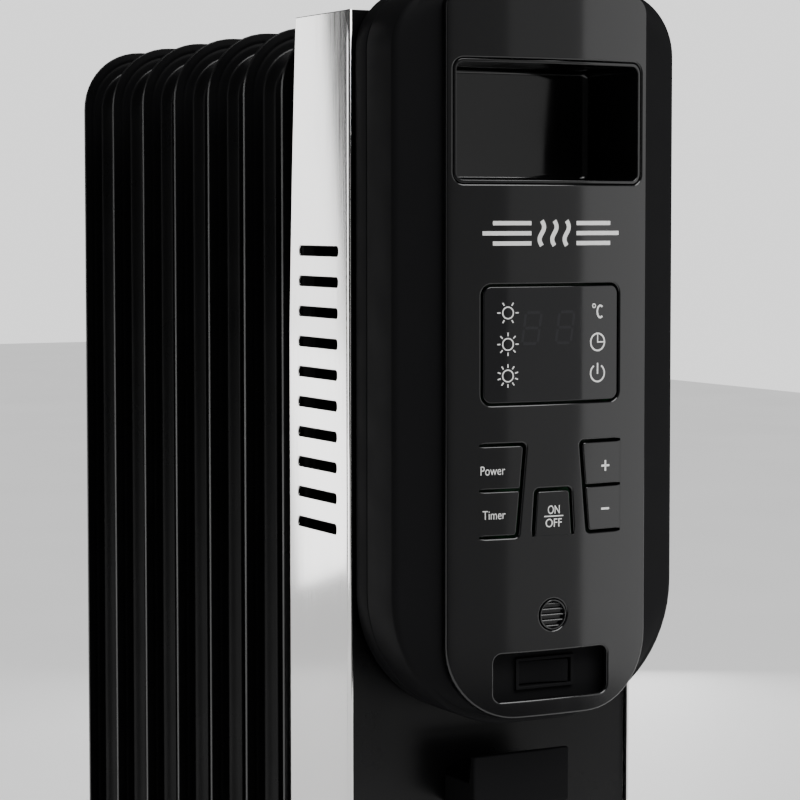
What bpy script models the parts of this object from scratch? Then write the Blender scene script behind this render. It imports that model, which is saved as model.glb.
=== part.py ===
"""Oil filled radiator heater: fins, headers, end case, control housing, feet and castors.

Metres, +Z up. The control panel faces -Y, the row of fins runs along +Y, and the origin is on the
floor under the middle of the heater.
"""

import math

import bmesh
import bpy
from mathutils import Matrix, Vector

# Whole heater
TOTAL_LENGTH = 0.4163
GAP = 0.0003

# Control panel: a pillar with a convex front, standing proud of the cover
PANEL_HALF_WIDTH = 0.0534
PANEL_RADIUS = 0.260
PANEL_EDGE_RISE = 0.0108
PANEL_WALL = 0.0025
PANEL_LOW = 0.3045
PANEL_HIGH = 0.6365
PANEL_CROWN = PANEL_EDGE_RISE + PANEL_RADIUS - math.sqrt(PANEL_RADIUS**2 - PANEL_HALF_WIDTH**2)

# Every depth below is measured back from the plane of the cover's outer front edges
COVER_Y = -TOTAL_LENGTH / 2 + PANEL_CROWN

# Control housing: front cover and rear half
HOUSING_HALF_WIDTH = 0.075
HOUSING_LOW = 0.299
HOUSING_HIGH = 0.640
HOUSING_LOW_CORNER = 0.062
HOUSING_HIGH_CORNER = 0.030
HOUSING_WALL = 0.0023
COVER_DEPTH = 0.0255
COVER_RISE = 0.0070
HOUSING_DEPTH = 0.0385

# Metal end case and its polished side strips
CASE_FRONT = 0.0415
CASE_REAR = 0.098
CASE_HALF_WIDTH = 0.0750
SHEET = 0.0012
STRIP_FRONT = 0.0390
STRIP_REAR = 0.1089
STRIP_BOW_RADIUS = 3.97
STRIP_BOW_CENTRE = 0.340
STRIP_OUTSIDE = 0.0768
SLOT_COUNT = 10
SLOT_PITCH = 0.01455
SLOT_TOP = 0.5183
SLOT_FRONT = 0.0545
SLOT_REAR = 0.0970
SLOT_HEIGHT = 0.0046
SLOT_CORNER = 0.0014
SLOT_FOLLOW = 0.6

# Fins
FIN_COUNT = 7
FIN_PITCH = 0.0455
FIRST_FIN_DEPTH = 0.1108
FIN_HALF_WIDTH = 0.0783
FIN_LOW = 0.075
FIN_HIGH = 0.630
FIN_CORNER = 0.034
FIN_EDGE = 0.0024
FIN_BULGE = 0.0160
FLANGE_WIDTH = 0.0095
SHOULDER = 0.0050

# Oil headers through the fins
HEADER_RADIUS = 0.024
HEADER_BORE = 0.0195
HEADER_OVERHANG = 0.012
UPPER_HEADER_Z = 0.580
LOWER_HEADER_Z = 0.120
ELEMENT_RADIUS = 0.004
ELEMENT_SPREAD = 0.010

# Panel cut-outs
WINDOW_Z = 0.4763
WINDOW_HALF_WIDTH = 0.0367
WINDOW_HALF_HEIGHT = 0.0275
WINDOW_CORNER = 0.005
GROOVE = 0.0012
POCKET_HALF_WIDTH = 0.0500
POCKET_LOW = 0.5493
POCKET_HIGH = 0.6060
POCKET_CORNER = 0.005
POCKET_BACK = 0.0355
KEY_TOP = 0.4313
KEY_MIDDLE = 0.4100
KEY_BOTTOM = 0.3880
KEY_ROOT_X = 0.0377
KEY_TIP_TOP_X = 0.0141
KEY_TIP_BOTTOM_X = 0.0181
CENTRE_KEY_TOP_X = 0.0098
CENTRE_KEY_BOTTOM_X = 0.0112
GRILLE_Z = 0.3513
GRILLE_RADIUS = 0.0070
SWITCH_Z = 0.3235
SWITCH_HALF_WIDTH = 0.0304
SWITCH_HALF_HEIGHT = 0.0110
ROCKER_TILT = math.radians(8)

# Feet and castors
FOOT_HALF_LENGTH = 0.120
FOOT_HALF_WIDTH = 0.017
FOOT_HEIGHT = 0.016
FOOT_WALL = 0.002
CASTOR_X = 0.104
CASTOR_TRAIL = 0.012
WHEEL_RADIUS = 0.020
WHEEL_HALF_GAP = 0.0032
WHEEL_HALF_WIDTH = 0.0125
STEM_RADIUS = 0.004
U_BOLT_RADIUS = 0.0025
U_BOLT_CLEARANCE = 0.0006
U_BOLT_BEND = HEADER_RADIUS + U_BOLT_RADIUS + U_BOLT_CLEARANCE
WEB_HALF_WIDTH = 0.0024
AXLE_RADIUS = 0.0030
COLLAR_RADIUS = 0.0095

# Small parts: heights above the floor, half widths and board thicknesses
TOOL_REACH = 0.010
CUTOUT_Z = 0.450
FUSE_Z = 0.410
FUSE_RADIUS = 0.0022
TIP_SWITCH_X = 0.035
TIP_SWITCH_Z = 0.317
TERMINAL_X = -0.037
TERMINAL_Z = 0.190
WAY_COUNT = 3
WAY_PITCH = 0.0155
CASE_FLANGE = 0.0085
DOORWAY_HALF_WIDTH = 0.030
DOORWAY_LOW = 0.350
DOORWAY_HIGH = 0.390
GLAND_Z = 0.205
GLAND_RADIUS = 0.0080
GLAND_BORE = 0.0042
CLEAT_UPPER_Z = 0.262
CLEAT_LOWER_Z = 0.130
CLEAT_HALF_WIDTH = 0.026
KEY_STEM_X = 0.0235
KEY_STEM_HALF = 0.0016
CENTRE_STEM_Z = 0.4030
POCKET_WALL = 0.0016
POCKET_SETBACK = 0.0006
BOARD_FACE = -0.0030
BOARD_THICKNESS = 0.0016
BOARD_HALF_WIDTH = 0.042
POWER_BOARD_DEPTH = 0.0280
POWER_BOARD_HALF_WIDTH = 0.055
RELAY_HALF_WIDTH = 0.0095
RELAY_HEIGHT = 0.0155
LENS_REACH = 0.047
SLAT_COUNT = 4
SLAT_PITCH = 0.0030
SWITCH_CORNER = 0.004
ROCKER_PLATE_DEPTH = -0.0075
ROCKER_PIVOT = 0.0045
ROCKER_HALF_LENGTH = 0.0128
ROCKER_HALF_HEIGHT = 0.0054

BLACK_PLASTIC = ("black_plastic", (0.015, 0.015, 0.016), 0.45, 0.0)
GLOSS_PLASTIC = ("gloss_plastic", (0.008, 0.008, 0.009), 0.12, 0.0)
BLACK_STEEL = ("black_steel", (0.012, 0.012, 0.013), 0.38, 0.0)
CHROME = ("chrome", (0.80, 0.80, 0.81), 0.10, 1.0)
BARE_STEEL = ("bare_steel", (0.55, 0.56, 0.57), 0.30, 1.0)
LENS = ("smoked_lens", (0.02, 0.02, 0.022), 0.08, 0.0)
BOARD = ("circuit_board", (0.03, 0.14, 0.06), 0.55, 0.0)
RUBBER = ("rubber", (0.02, 0.02, 0.02), 0.80, 0.0)
WHITE_PLASTIC = ("white_plastic", (0.75, 0.74, 0.70), 0.50, 0.0)


def depth(value):
    """World Y of a depth behind the cover's outer front edges."""
    return COVER_Y + value


def panel_y(x, below=0.0):
    """World Y of the panel's convex front at x, or of a surface some depth below it."""
    radius = PANEL_RADIUS - below
    centre = -PANEL_EDGE_RISE + math.sqrt(PANEL_RADIUS**2 - PANEL_HALF_WIDTH**2)
    return depth(centre - math.sqrt(radius**2 - x**2))


def material_for(look):
    """The shared material of a look: its name, linear colour, roughness and metallic value."""
    name, colour, roughness, metallic = look
    found = bpy.data.materials.get(name)
    if found:
        return found
    made = bpy.data.materials.new(name)
    made.use_nodes = True
    shader = made.node_tree.nodes["Principled BSDF"]
    shader.inputs["Base Color"].default_value = (*colour, 1.0)
    shader.inputs["Roughness"].default_value = roughness
    shader.inputs["Metallic"].default_value = metallic
    made.diffuse_color = (*colour, 1.0)
    return made


def object_from(name, work):
    """An object from a bmesh, with its faces turned outwards."""
    bmesh.ops.recalc_face_normals(work, faces=work.faces)
    mesh = bpy.data.meshes.new(name)
    work.to_mesh(mesh)
    work.free()
    made = bpy.data.objects.new(name, mesh)
    bpy.context.collection.objects.link(made)
    return made


def stack(name, rings):
    """A closed solid skinned over rings with the same number of points."""
    work = bmesh.new()
    rows = [[work.verts.new(point) for point in ring] for ring in rings]
    count = len(rows[0])
    for low, high in zip(rows, rows[1:]):
        for i in range(count):
            j = (i + 1) % count
            work.faces.new((low[i], low[j], high[j], high[i]))
    work.faces.new(rows[0])
    work.faces.new(list(reversed(rows[-1])))
    return object_from(name, work)


def prism(name, outline, start, end, axis="Y"):
    """A flat outline carried along one axis: (x, z) along Y, (y, z) along X, (x, y) along Z."""
    def point(a, b, along):
        if axis == "X":
            return (along, a, b)
        if axis == "Y":
            return (a, along, b)
        return (a, b, along)
    return stack(name, [[point(a, b, along) for a, b in outline] for along in (start, end)])


def block(name, low, high):
    """A plain box between two corners."""
    outline = [(low[0], low[2]), (high[0], low[2]), (high[0], high[2]), (low[0], high[2])]
    return prism(name, outline, low[1], high[1])


def arc(centre, radius, start, end, steps):
    """Points on an arc, from one angle in degrees to another."""
    angles = [math.radians(start + (end - start) * i / steps) for i in range(steps + 1)]
    return [(centre[0] + radius * math.cos(a), centre[1] + radius * math.sin(a)) for a in angles]


def rounded(half_width, low, high, low_corner, high_corner, steps=4, centre_x=0.0):
    """Outline of an upright rounded rectangle with its own low and high corner radii."""
    right = centre_x + half_width
    left = centre_x - half_width
    points = arc((right - low_corner, low + low_corner), low_corner, -90, 0, steps)
    points += arc((right - high_corner, high - high_corner), high_corner, 0, 90, steps)
    points += arc((left + high_corner, high - high_corner), high_corner, 90, 180, steps)
    points += arc((left + low_corner, low + low_corner), low_corner, 180, 270, steps)
    return points


def turned(name, profile, centre, axis="Z", steps=24):
    """A solid of revolution from (radius, height) pairs, its ends closed by flat discs."""
    rings = []
    for radius, height in profile:
        ring = []
        for i in range(steps):
            angle = 2 * math.pi * i / steps
            a = radius * math.cos(angle)
            b = radius * math.sin(angle)
            if axis == "X":
                ring.append((centre[0] + height, centre[1] + a, centre[2] + b))
            elif axis == "Y":
                ring.append((centre[0] + a, centre[1] + height, centre[2] + b))
            else:
                ring.append((centre[0] + a, centre[1] + b, centre[2] + height))
        rings.append(ring)
    return stack(name, rings)


def rod(name, radius, start, end, centre, axis="Z", steps=16):
    return turned(name, [(radius, start), (radius, end)], centre, axis, steps)


def combine(target, tools, operation):
    """Apply a Boolean with each tool in turn and remove the tools."""
    for tool in tools:
        step = target.modifiers.new(operation.lower(), "BOOLEAN")
        step.operation = operation
        step.solver = "EXACT"
        step.object = tool
    bpy.context.view_layer.update()
    evaluated = target.evaluated_get(bpy.context.evaluated_depsgraph_get())
    result = bpy.data.meshes.new_from_object(evaluated)
    target.modifiers.clear()
    target.data = result
    for tool in tools:
        bpy.data.objects.remove(tool)
    return target


def cut(target, *tools):
    return combine(target, tools, "DIFFERENCE")


def join(target, *tools):
    return combine(target, tools, "UNION")


def common(target, *tools):
    return combine(target, tools, "INTERSECT")


def finish(piece, look, origin=(0, 0, 0), smooth=False):
    """Give a piece its material and move its origin to a point, keeping the shape in place."""
    piece.data.materials.clear()
    piece.data.materials.append(material_for(look))
    piece.data.transform(Matrix.Translation(-Vector(origin)))
    piece.location = origin
    if smooth:
        piece.data.shade_smooth()
        piece.data.set_sharp_from_angle(angle=math.radians(40))
    return piece


# Fins and headers

def fin_depths():
    return [FIRST_FIN_DEPTH + FIN_PITCH * i for i in range(FIN_COUNT)]


def fin_ring(inset, half_thickness):
    outline = rounded(FIN_HALF_WIDTH - inset, FIN_LOW + inset, FIN_HIGH - inset,
                      FIN_CORNER - inset, FIN_CORNER - inset)
    return [(x, half_thickness, z) for x, z in outline]


def make_fins():
    """Pressed fins: a seam flange all round, three raised oil columns with two sunk webs."""
    shoulder = FLANGE_WIDTH + SHOULDER
    levels = [(shoulder, -FIN_BULGE / 2), (FLANGE_WIDTH, -FIN_EDGE / 2), (0, -FIN_EDGE / 2),
              (0, FIN_EDGE / 2), (FLANGE_WIDTH, FIN_EDGE / 2), (shoulder, FIN_BULGE / 2)]
    fin = stack("fin_1", [fin_ring(inset, y) for inset, y in levels])
    webs = []
    for centre_x in (-0.029, 0.029):
        outline = rounded(0.0075, 0.170, 0.530, 0.007, 0.007, 2, centre_x)
        webs.append(prism("web", outline, FIN_EDGE / 2, FIN_BULGE))
        webs.append(prism("web", outline, -FIN_BULGE, -FIN_EDGE / 2))
    holes = [rod("hole", HEADER_RADIUS + GAP, -0.02, 0.02, (0, 0, z), "Y", 24)
             for z in (UPPER_HEADER_Z, LOWER_HEADER_Z)]
    cut(fin, *webs, *holes)
    finish(fin, BLACK_STEEL)
    for i, y in enumerate(fin_depths()):
        piece = fin if i == 0 else bpy.data.objects.new(f"fin_{i + 1}", fin.data)
        if i:
            bpy.context.collection.objects.link(piece)
        piece.location = (0, depth(y), 0)


def make_headers():
    """Necks of the fins as one tube at the top and one at the bottom; both are blind at one end."""
    front = depth(FIRST_FIN_DEPTH - HEADER_OVERHANG)
    rear = depth(fin_depths()[-1] + HEADER_OVERHANG)
    for name, z, bore in (("header_upper", UPPER_HEADER_Z, (front + 0.003, rear + 0.01)),
                          ("header_lower", LOWER_HEADER_Z, (front - 0.01, rear - 0.003))):
        tube = rod(name, HEADER_RADIUS, front, rear, (0, 0, z), "Y", 24)
        cut(tube, rod("bore", HEADER_BORE, *bore, (0, 0, z), "Y", 24))
        finish(tube, BLACK_STEEL, (0, front, z), smooth=True)
    plug = turned("fill_plug", [(HEADER_BORE - GAP, rear - 0.010), (HEADER_BORE - GAP, rear + GAP),
                                (0.0215, rear + GAP), (0.0215, rear + 0.0016),
                                (0.010, rear + 0.0042)], (0, 0, UPPER_HEADER_Z), "Y", 24)
    finish(plug, BLACK_STEEL, (0, rear, UPPER_HEADER_Z), smooth=True)


def make_element():
    """A hairpin heater in the lower header, with its flange and gasket on the header's mouth."""
    mouth = depth(FIRST_FIN_DEPTH - HEADER_OVERHANG)
    z = LOWER_HEADER_Z
    gasket = rod("element_gasket", HEADER_RADIUS, mouth - 0.002, mouth - GAP, (0, 0, z), "Y", 24)
    cut(gasket, rod("bore", HEADER_BORE, mouth - 0.01, mouth + 0.01, (0, 0, z), "Y", 24))
    finish(gasket, RUBBER, (0, mouth, z), smooth=True)
    face = mouth - 0.002 - GAP
    flange = rod("element_flange", 0.029, face - 0.005, face, (0, 0, z), "Y", 6)
    holes = [rod("hole", ELEMENT_RADIUS + GAP, face - 0.02, face + 0.02,
                 (0, 0, z + side * ELEMENT_SPREAD), "Y", 12) for side in (-1, 1)]
    cut(flange, *holes)
    finish(flange, BARE_STEEL, (0, face, z))
    far = mouth + 0.235
    route = [(face - 0.016, z - ELEMENT_SPREAD), (mouth + 0.12, z - ELEMENT_SPREAD)]
    route += arc((far, z), ELEMENT_SPREAD, -90, 90, 8)
    route += [(mouth + 0.12, z + ELEMENT_SPREAD), (face - 0.016, z + ELEMENT_SPREAD)]
    tube_along("heating_element", [(0, y, height) for y, height in route], ELEMENT_RADIUS, BARE_STEEL,
               (0, mouth, z))


def tube_along(name, points, radius, look, origin):
    """A round rod through a list of points, with filled ends."""
    curve = bpy.data.curves.new(name, "CURVE")
    curve.dimensions = "3D"
    curve.bevel_depth = radius
    curve.bevel_resolution = 2
    curve.use_fill_caps = True
    spline = curve.splines.new("POLY")
    spline.points.add(len(points) - 1)
    for slot, point in zip(spline.points, points):
        slot.co = (point[0] - origin[0], point[1] - origin[1], point[2] - origin[2], 1.0)
    curve.materials.append(material_for(look))
    made = bpy.data.objects.new(name, curve)
    made.location = origin
    bpy.context.collection.objects.link(made)
    return made


def make_safety_parts():
    """Cut-out and fuse on the first fin, tip-over switch and terminal block in the end case."""
    fin_face = depth(FIRST_FIN_DEPTH - FIN_BULGE / 2) - GAP
    cutout = turned("overheat_cutout", [(0.008, fin_face - 0.009), (0.008, fin_face - 0.002),
                                        (0.011, fin_face - 0.002), (0.011, fin_face)],
                    (0, 0, CUTOUT_Z), "Y", 16)
    finish(cutout, BLACK_PLASTIC, (0, fin_face, CUTOUT_Z), smooth=True)
    fuse = rod("thermal_fuse", FUSE_RADIUS, -0.007, 0.007, (0, fin_face - 0.0025, FUSE_Z), "X", 12)
    finish(fuse, BARE_STEEL, (0, fin_face - 0.0025, FUSE_Z), smooth=True)
    wall = depth(CASE_FRONT) + SHEET + GAP
    tip = block("tip_over_switch", (TIP_SWITCH_X - 0.013, wall, TIP_SWITCH_Z - 0.017),
                (TIP_SWITCH_X + 0.013, wall + 0.022, TIP_SWITCH_Z + 0.017))
    foot = block("foot", (TIP_SWITCH_X - 0.017, wall, TIP_SWITCH_Z - 0.013),
                 (TIP_SWITCH_X + 0.017, wall + 0.003, TIP_SWITCH_Z + 0.013))
    join(tip, foot)
    finish(tip, WHITE_PLASTIC, (TIP_SWITCH_X, wall, TIP_SWITCH_Z))
    terminal = block("terminal_block", (TERMINAL_X - 0.023, wall, TERMINAL_Z - 0.010),
                     (TERMINAL_X + 0.023, wall + 0.018, TERMINAL_Z + 0.010))
    first = TERMINAL_X - 0.019
    ways = [block("way", (first + WAY_PITCH * i, wall + 0.006, TERMINAL_Z - 0.020),
                  (first + 0.007 + WAY_PITCH * i, wall + 0.013, TERMINAL_Z + 0.020))
            for i in range(WAY_COUNT)]
    cut(terminal, *ways)
    finish(terminal, WHITE_PLASTIC, (TERMINAL_X, wall, TERMINAL_Z))


# End case and side strips

def make_end_case():
    """Folded sheet case: front wall, top, bottom and two short side flanges."""
    x = CASE_HALF_WIDTH
    case = block("end_case", (-x, depth(CASE_FRONT), FIN_LOW), (x, depth(CASE_REAR), FIN_HIGH))
    back = depth(CASE_REAR) + TOOL_REACH
    inside = block("inside", (-x + SHEET, depth(CASE_FRONT) + SHEET, FIN_LOW + SHEET),
                   (x - SHEET, back, FIN_HIGH - SHEET))
    sides = []
    for near, far in ((-x - TOOL_REACH, -x + 0.002), (x - 0.002, x + TOOL_REACH)):
        sides.append(block("side", (near, depth(CASE_FRONT) + CASE_FLANGE, FIN_LOW - TOOL_REACH),
                           (far, back, FIN_HIGH + TOOL_REACH)))
    front = depth(CASE_FRONT) - 0.0065
    doorway = prism("doorway", rounded(DOORWAY_HALF_WIDTH, DOORWAY_LOW, DOORWAY_HIGH, 0.005, 0.005, 2),
                    front, depth(CASE_FRONT) + TOOL_REACH)
    gland_hole = rod("hole", GLAND_RADIUS + GAP, front, depth(CASE_FRONT) + TOOL_REACH, (0, 0, GLAND_Z),
                     "Y", 16)
    cut(case, inside, *sides, doorway, gland_hole)
    finish(case, BLACK_STEEL, (0, depth(CASE_FRONT), FIN_LOW))


def bow(z):
    """How far the strip's rear edge has curved forward at a height."""
    return STRIP_BOW_RADIUS - math.sqrt(STRIP_BOW_RADIUS**2 - (z - STRIP_BOW_CENTRE)**2)


def strip_outline():
    """Side strip seen from the side, as (y, z): straight front edge, bowed rear edge."""
    steps = 16
    low, high = FIN_LOW, FIN_HIGH
    points = [(depth(STRIP_FRONT), high), (depth(STRIP_FRONT), low)]
    for i in range(steps + 1):
        z = low + (high - low) * i / steps
        points.append((depth(STRIP_REAR - bow(z)), z))
    return points


def slot_outline(z):
    """A vent slot as (y, z), with round corners; the row of slots leans with the strip's bow."""
    middle = depth((SLOT_FRONT + SLOT_REAR) / 2 - SLOT_FOLLOW * bow(z))
    half = SLOT_HEIGHT / 2
    return rounded((SLOT_REAR - SLOT_FRONT) / 2, z - half, z + half, SLOT_CORNER, SLOT_CORNER, 2, middle)


def make_side_strips():
    for name, side in (("side_strip_left", -1), ("side_strip_right", 1)):
        near = side * STRIP_OUTSIDE
        far = side * (STRIP_OUTSIDE - SHEET)
        strip = prism(name, strip_outline(), min(near, far), max(near, far), "X")
        slots = [prism("slot", slot_outline(SLOT_TOP - SLOT_PITCH * i), side * STRIP_OUTSIDE - 0.005,
                       side * STRIP_OUTSIDE + 0.005, "X") for i in range(SLOT_COUNT)]
        cut(strip, *slots)
        finish(strip, CHROME, (near, depth(STRIP_FRONT), FIN_LOW))


def make_cord_fittings():
    """Cable gland and two cleats on the end case, below the control housing."""
    wall = depth(CASE_FRONT)
    gland = turned("cord_gland", [(0.0075, wall - 0.010), (0.0110, wall - 0.006), (0.0110, wall - GAP),
                                  (GLAND_RADIUS, wall - GAP), (GLAND_RADIUS, wall + 0.006)],
                   (0, 0, GLAND_Z), "Y", 16)
    bore = rod("bore", GLAND_BORE, wall - 2 * TOOL_REACH, wall + 2 * TOOL_REACH, (0, 0, GLAND_Z), "Y", 16)
    cut(gland, bore)
    finish(gland, RUBBER, (0, wall, GLAND_Z), smooth=True)
    for name, z, turn in (("cord_cleat_upper", CLEAT_UPPER_Z, 1), ("cord_cleat_lower", CLEAT_LOWER_Z, -1)):
        profile = [(wall - GAP, z - 0.007), (wall - GAP, z + 0.007), (wall - 0.024, z + 0.007),
                   (wall - 0.026, z + 0.020), (wall - 0.0295, z + 0.020), (wall - 0.0295, z - 0.005),
                   (wall - 0.0275, z - 0.007)]
        if turn < 0:
            profile = [(y, 2 * z - height) for y, height in profile]
        cleat = prism(name, profile, -CLEAT_HALF_WIDTH, CLEAT_HALF_WIDTH, "X")
        finish(cleat, BLACK_PLASTIC, (0, wall, z))


# Control housing

def housing_outline(inset=0.0, steps=6):
    return rounded(HOUSING_HALF_WIDTH - inset, HOUSING_LOW + inset, HOUSING_HIGH - inset,
                   HOUSING_LOW_CORNER - inset, HOUSING_HIGH_CORNER - inset, steps)


def panel_outline(inset=0.0, steps=5):
    return rounded(PANEL_HALF_WIDTH - inset, PANEL_LOW + inset, PANEL_HIGH - inset,
                   0.035 - inset, 0.008 - inset, steps)


def cover_body(name, inset, back):
    """The cover's solid: the housing outline, with a front that slopes up to a flat behind the panel."""
    half = HOUSING_HALF_WIDTH
    edge = PANEL_HALF_WIDTH
    section = [(-half, 0.0), (-half + 0.003, -0.0018), (-edge, -COVER_RISE), (edge, -COVER_RISE),
               (half - 0.003, -0.0018), (half, 0.0)]
    section = [(x, depth(y + inset)) for x, y in section]
    section += [(half, depth(back)), (-half, depth(back))]
    body = prism(name, section, HOUSING_LOW - 0.01, HOUSING_HIGH + 0.01, "Z")
    return common(body, prism("outline", housing_outline(inset), depth(-0.03), depth(0.06)))


def make_housing():
    """The housing's rear half, a tray, and its front cover, a frame round the control panel."""
    tray = prism("rear_housing", housing_outline(), depth(COVER_DEPTH + GAP), depth(HOUSING_DEPTH))
    inside = prism("inside", housing_outline(HOUSING_WALL), depth(0), depth(HOUSING_DEPTH - HOUSING_WALL))
    doorway = prism("doorway", rounded(0.030, 0.350, 0.390, 0.005, 0.005, 2), depth(0.02), depth(0.05))
    cut(tray, inside, doorway)
    finish(tray, BLACK_PLASTIC, (0, depth(HOUSING_DEPTH), HOUSING_LOW))
    cover = cover_body("front_cover", 0.0, COVER_DEPTH)
    hollow = cover_body("hollow", HOUSING_WALL, COVER_DEPTH + 0.01)
    mouth = prism("mouth", panel_outline(0.003), depth(-0.02), depth(0.01))
    cut(cover, hollow, mouth)
    finish(cover, BLACK_PLASTIC, (0, depth(0), HOUSING_LOW))


def curved_slab(name, shallow, deep, half_width, low, high, steps=16):
    """A sheet that follows the panel's front between two depths below it."""
    xs = [half_width * (2 * i / steps - 1) for i in range(steps + 1)]
    outline = [(x, panel_y(x, shallow)) for x in xs]
    outline += [(x, panel_y(x, deep)) for x in reversed(xs)]
    return prism(name, outline, low, high, "Z")


def key_opening(side):
    """Opening for a pair of side keys as (x, z); side is -1 on the left and 1 on the right."""
    return [(side * KEY_ROOT_X, KEY_TOP), (side * KEY_ROOT_X, KEY_BOTTOM),
            (side * KEY_TIP_BOTTOM_X, KEY_BOTTOM), (side * KEY_TIP_TOP_X, KEY_TOP)]


def tip_x(z):
    """Half distance between the slanted free ends of the side keys' openings at a height."""
    share = (KEY_TOP - z) / (KEY_TOP - KEY_BOTTOM)
    return KEY_TIP_TOP_X + (KEY_TIP_BOTTOM_X - KEY_TIP_TOP_X) * share


def side_key_outline(side, low, high):
    return [(side * (KEY_ROOT_X - GAP), high), (side * (KEY_ROOT_X - GAP), low),
            (side * (tip_x(low) + GROOVE), low), (side * (tip_x(high) + GROOVE), high)]


def make_panel():
    """The pillar: a shell with a convex front, open at the back, with all its cut-outs."""
    xs = [PANEL_HALF_WIDTH * (2 * i / 16 - 1) for i in range(17)]
    section = [(x, panel_y(x)) for x in xs]
    section += [(PANEL_HALF_WIDTH, depth(-COVER_RISE - GAP)), (-PANEL_HALF_WIDTH, depth(-COVER_RISE - GAP))]
    panel = prism("control_panel", section, PANEL_LOW - TOOL_REACH, PANEL_HIGH + TOOL_REACH, "Z")
    common(panel, prism("outline", panel_outline(), depth(-0.03), depth(0.01)))
    inner_x = PANEL_HALF_WIDTH - PANEL_WALL
    xs = [inner_x * (2 * i / 16 - 1) for i in range(17)]
    hollow_section = [(x, panel_y(x, PANEL_WALL)) for x in xs]
    hollow_section += [(inner_x, depth(TOOL_REACH)), (-inner_x, depth(TOOL_REACH))]
    hollow = prism("hollow", hollow_section, PANEL_LOW - TOOL_REACH, PANEL_HIGH + TOOL_REACH, "Z")
    common(hollow, prism("outline", panel_outline(PANEL_WALL), depth(-0.03), depth(0.02)))
    front, back = depth(-0.03), depth(-0.002)
    window = prism("window", rounded(WINDOW_HALF_WIDTH, WINDOW_Z - WINDOW_HALF_HEIGHT,
                                     WINDOW_Z + WINDOW_HALF_HEIGHT, WINDOW_CORNER, WINDOW_CORNER),
                   front, back)
    pocket = prism("pocket", rounded(POCKET_HALF_WIDTH, POCKET_LOW, POCKET_HIGH, POCKET_CORNER,
                                     POCKET_CORNER), front, back)
    keys = [prism("keys", key_opening(side), front, back) for side in (-1, 1)]
    centre = prism("keys", [(-CENTRE_KEY_BOTTOM_X, KEY_BOTTOM), (CENTRE_KEY_BOTTOM_X, KEY_BOTTOM),
                            (CENTRE_KEY_TOP_X, KEY_MIDDLE), (-CENTRE_KEY_TOP_X, KEY_MIDDLE)], front, back)
    sensor = rod("sensor", GRILLE_RADIUS + GAP, front, back, (0, 0, GRILLE_Z), "Y", 24)
    switch = prism("switch", rounded(SWITCH_HALF_WIDTH, SWITCH_Z - SWITCH_HALF_HEIGHT,
                                     SWITCH_Z + SWITCH_HALF_HEIGHT, SWITCH_CORNER, SWITCH_CORNER, 3),
                   front, back)
    cut(panel, hollow, window, pocket, *keys, centre, sensor, switch)
    finish(panel, GLOSS_PLASTIC, (0, depth(0), PANEL_LOW))


def make_pocket():
    """Handle pocket: a five-sided liner whose rim follows the panel's front."""
    half = POCKET_HALF_WIDTH - GAP
    low = POCKET_LOW + GAP
    high = POCKET_HIGH - GAP
    wall = POCKET_WALL
    xs = [half * (2 * i / 12 - 1) for i in range(13)]
    section = [(x, panel_y(x, POCKET_SETBACK)) for x in xs]
    section += [(half, depth(POCKET_BACK)), (-half, depth(POCKET_BACK))]
    liner = prism("handle_pocket", section, low, high, "Z")
    common(liner, prism("outline", rounded(half, low, high, POCKET_CORNER, POCKET_CORNER, 3),
                        depth(-0.03), depth(0.05)))
    hollow = prism("hollow", rounded(half - wall, low + wall, high - wall, POCKET_CORNER - wall,
                                     POCKET_CORNER - wall, 3), depth(-0.03), depth(POCKET_BACK - wall))
    cut(liner, hollow)
    finish(liner, GLOSS_PLASTIC, (0, depth(POCKET_BACK), POCKET_LOW))


def make_key(name, outline, pivot, stem):
    """A key cut from the panel's sheet, with a stem over its switch; the pivot is at its root."""
    xs = [x for x, z in outline]
    zs = [z for x, z in outline]
    key = curved_slab(name, 0.0, PANEL_WALL, PANEL_HALF_WIDTH - 0.004, min(zs) - 0.005, max(zs) + 0.005)
    common(key, prism("outline", outline, depth(-0.03), depth(0.0)))
    x, z = stem
    post = block("stem", (x - KEY_STEM_HALF, panel_y(x, PANEL_WALL) - 0.0008, z - KEY_STEM_HALF),
                 (x + KEY_STEM_HALF, panel_y(x) + 0.0062, z + KEY_STEM_HALF))
    join(key, post)
    return finish(key, GLOSS_PLASTIC, pivot)


def side_key_heights():
    upper = (KEY_MIDDLE + GROOVE / 2, KEY_TOP - GROOVE)
    lower = (KEY_BOTTOM + GROOVE, KEY_MIDDLE - GROOVE / 2)
    return upper, lower


def make_keys():
    upper, lower = side_key_heights()
    root_y = panel_y(KEY_ROOT_X, PANEL_WALL / 2)
    for name, side, (low, high) in (("key_power", -1, upper), ("key_timer", -1, lower),
                                    ("key_plus", 1, upper), ("key_minus", 1, lower)):
        middle = (low + high) / 2
        make_key(name, side_key_outline(side, low, high),
                 (side * (KEY_ROOT_X - GAP), root_y, middle), (side * KEY_STEM_X, middle))
    root_z = KEY_BOTTOM + GAP
    outline = [(-CENTRE_KEY_BOTTOM_X + GROOVE, root_z), (CENTRE_KEY_BOTTOM_X - GROOVE, root_z),
               (CENTRE_KEY_TOP_X - GROOVE, KEY_MIDDLE - GROOVE),
               (-CENTRE_KEY_TOP_X + GROOVE, KEY_MIDDLE - GROOVE)]
    make_key("key_on_off", outline, (0, panel_y(0, PANEL_WALL / 2), root_z), (0, CENTRE_STEM_Z))


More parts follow.
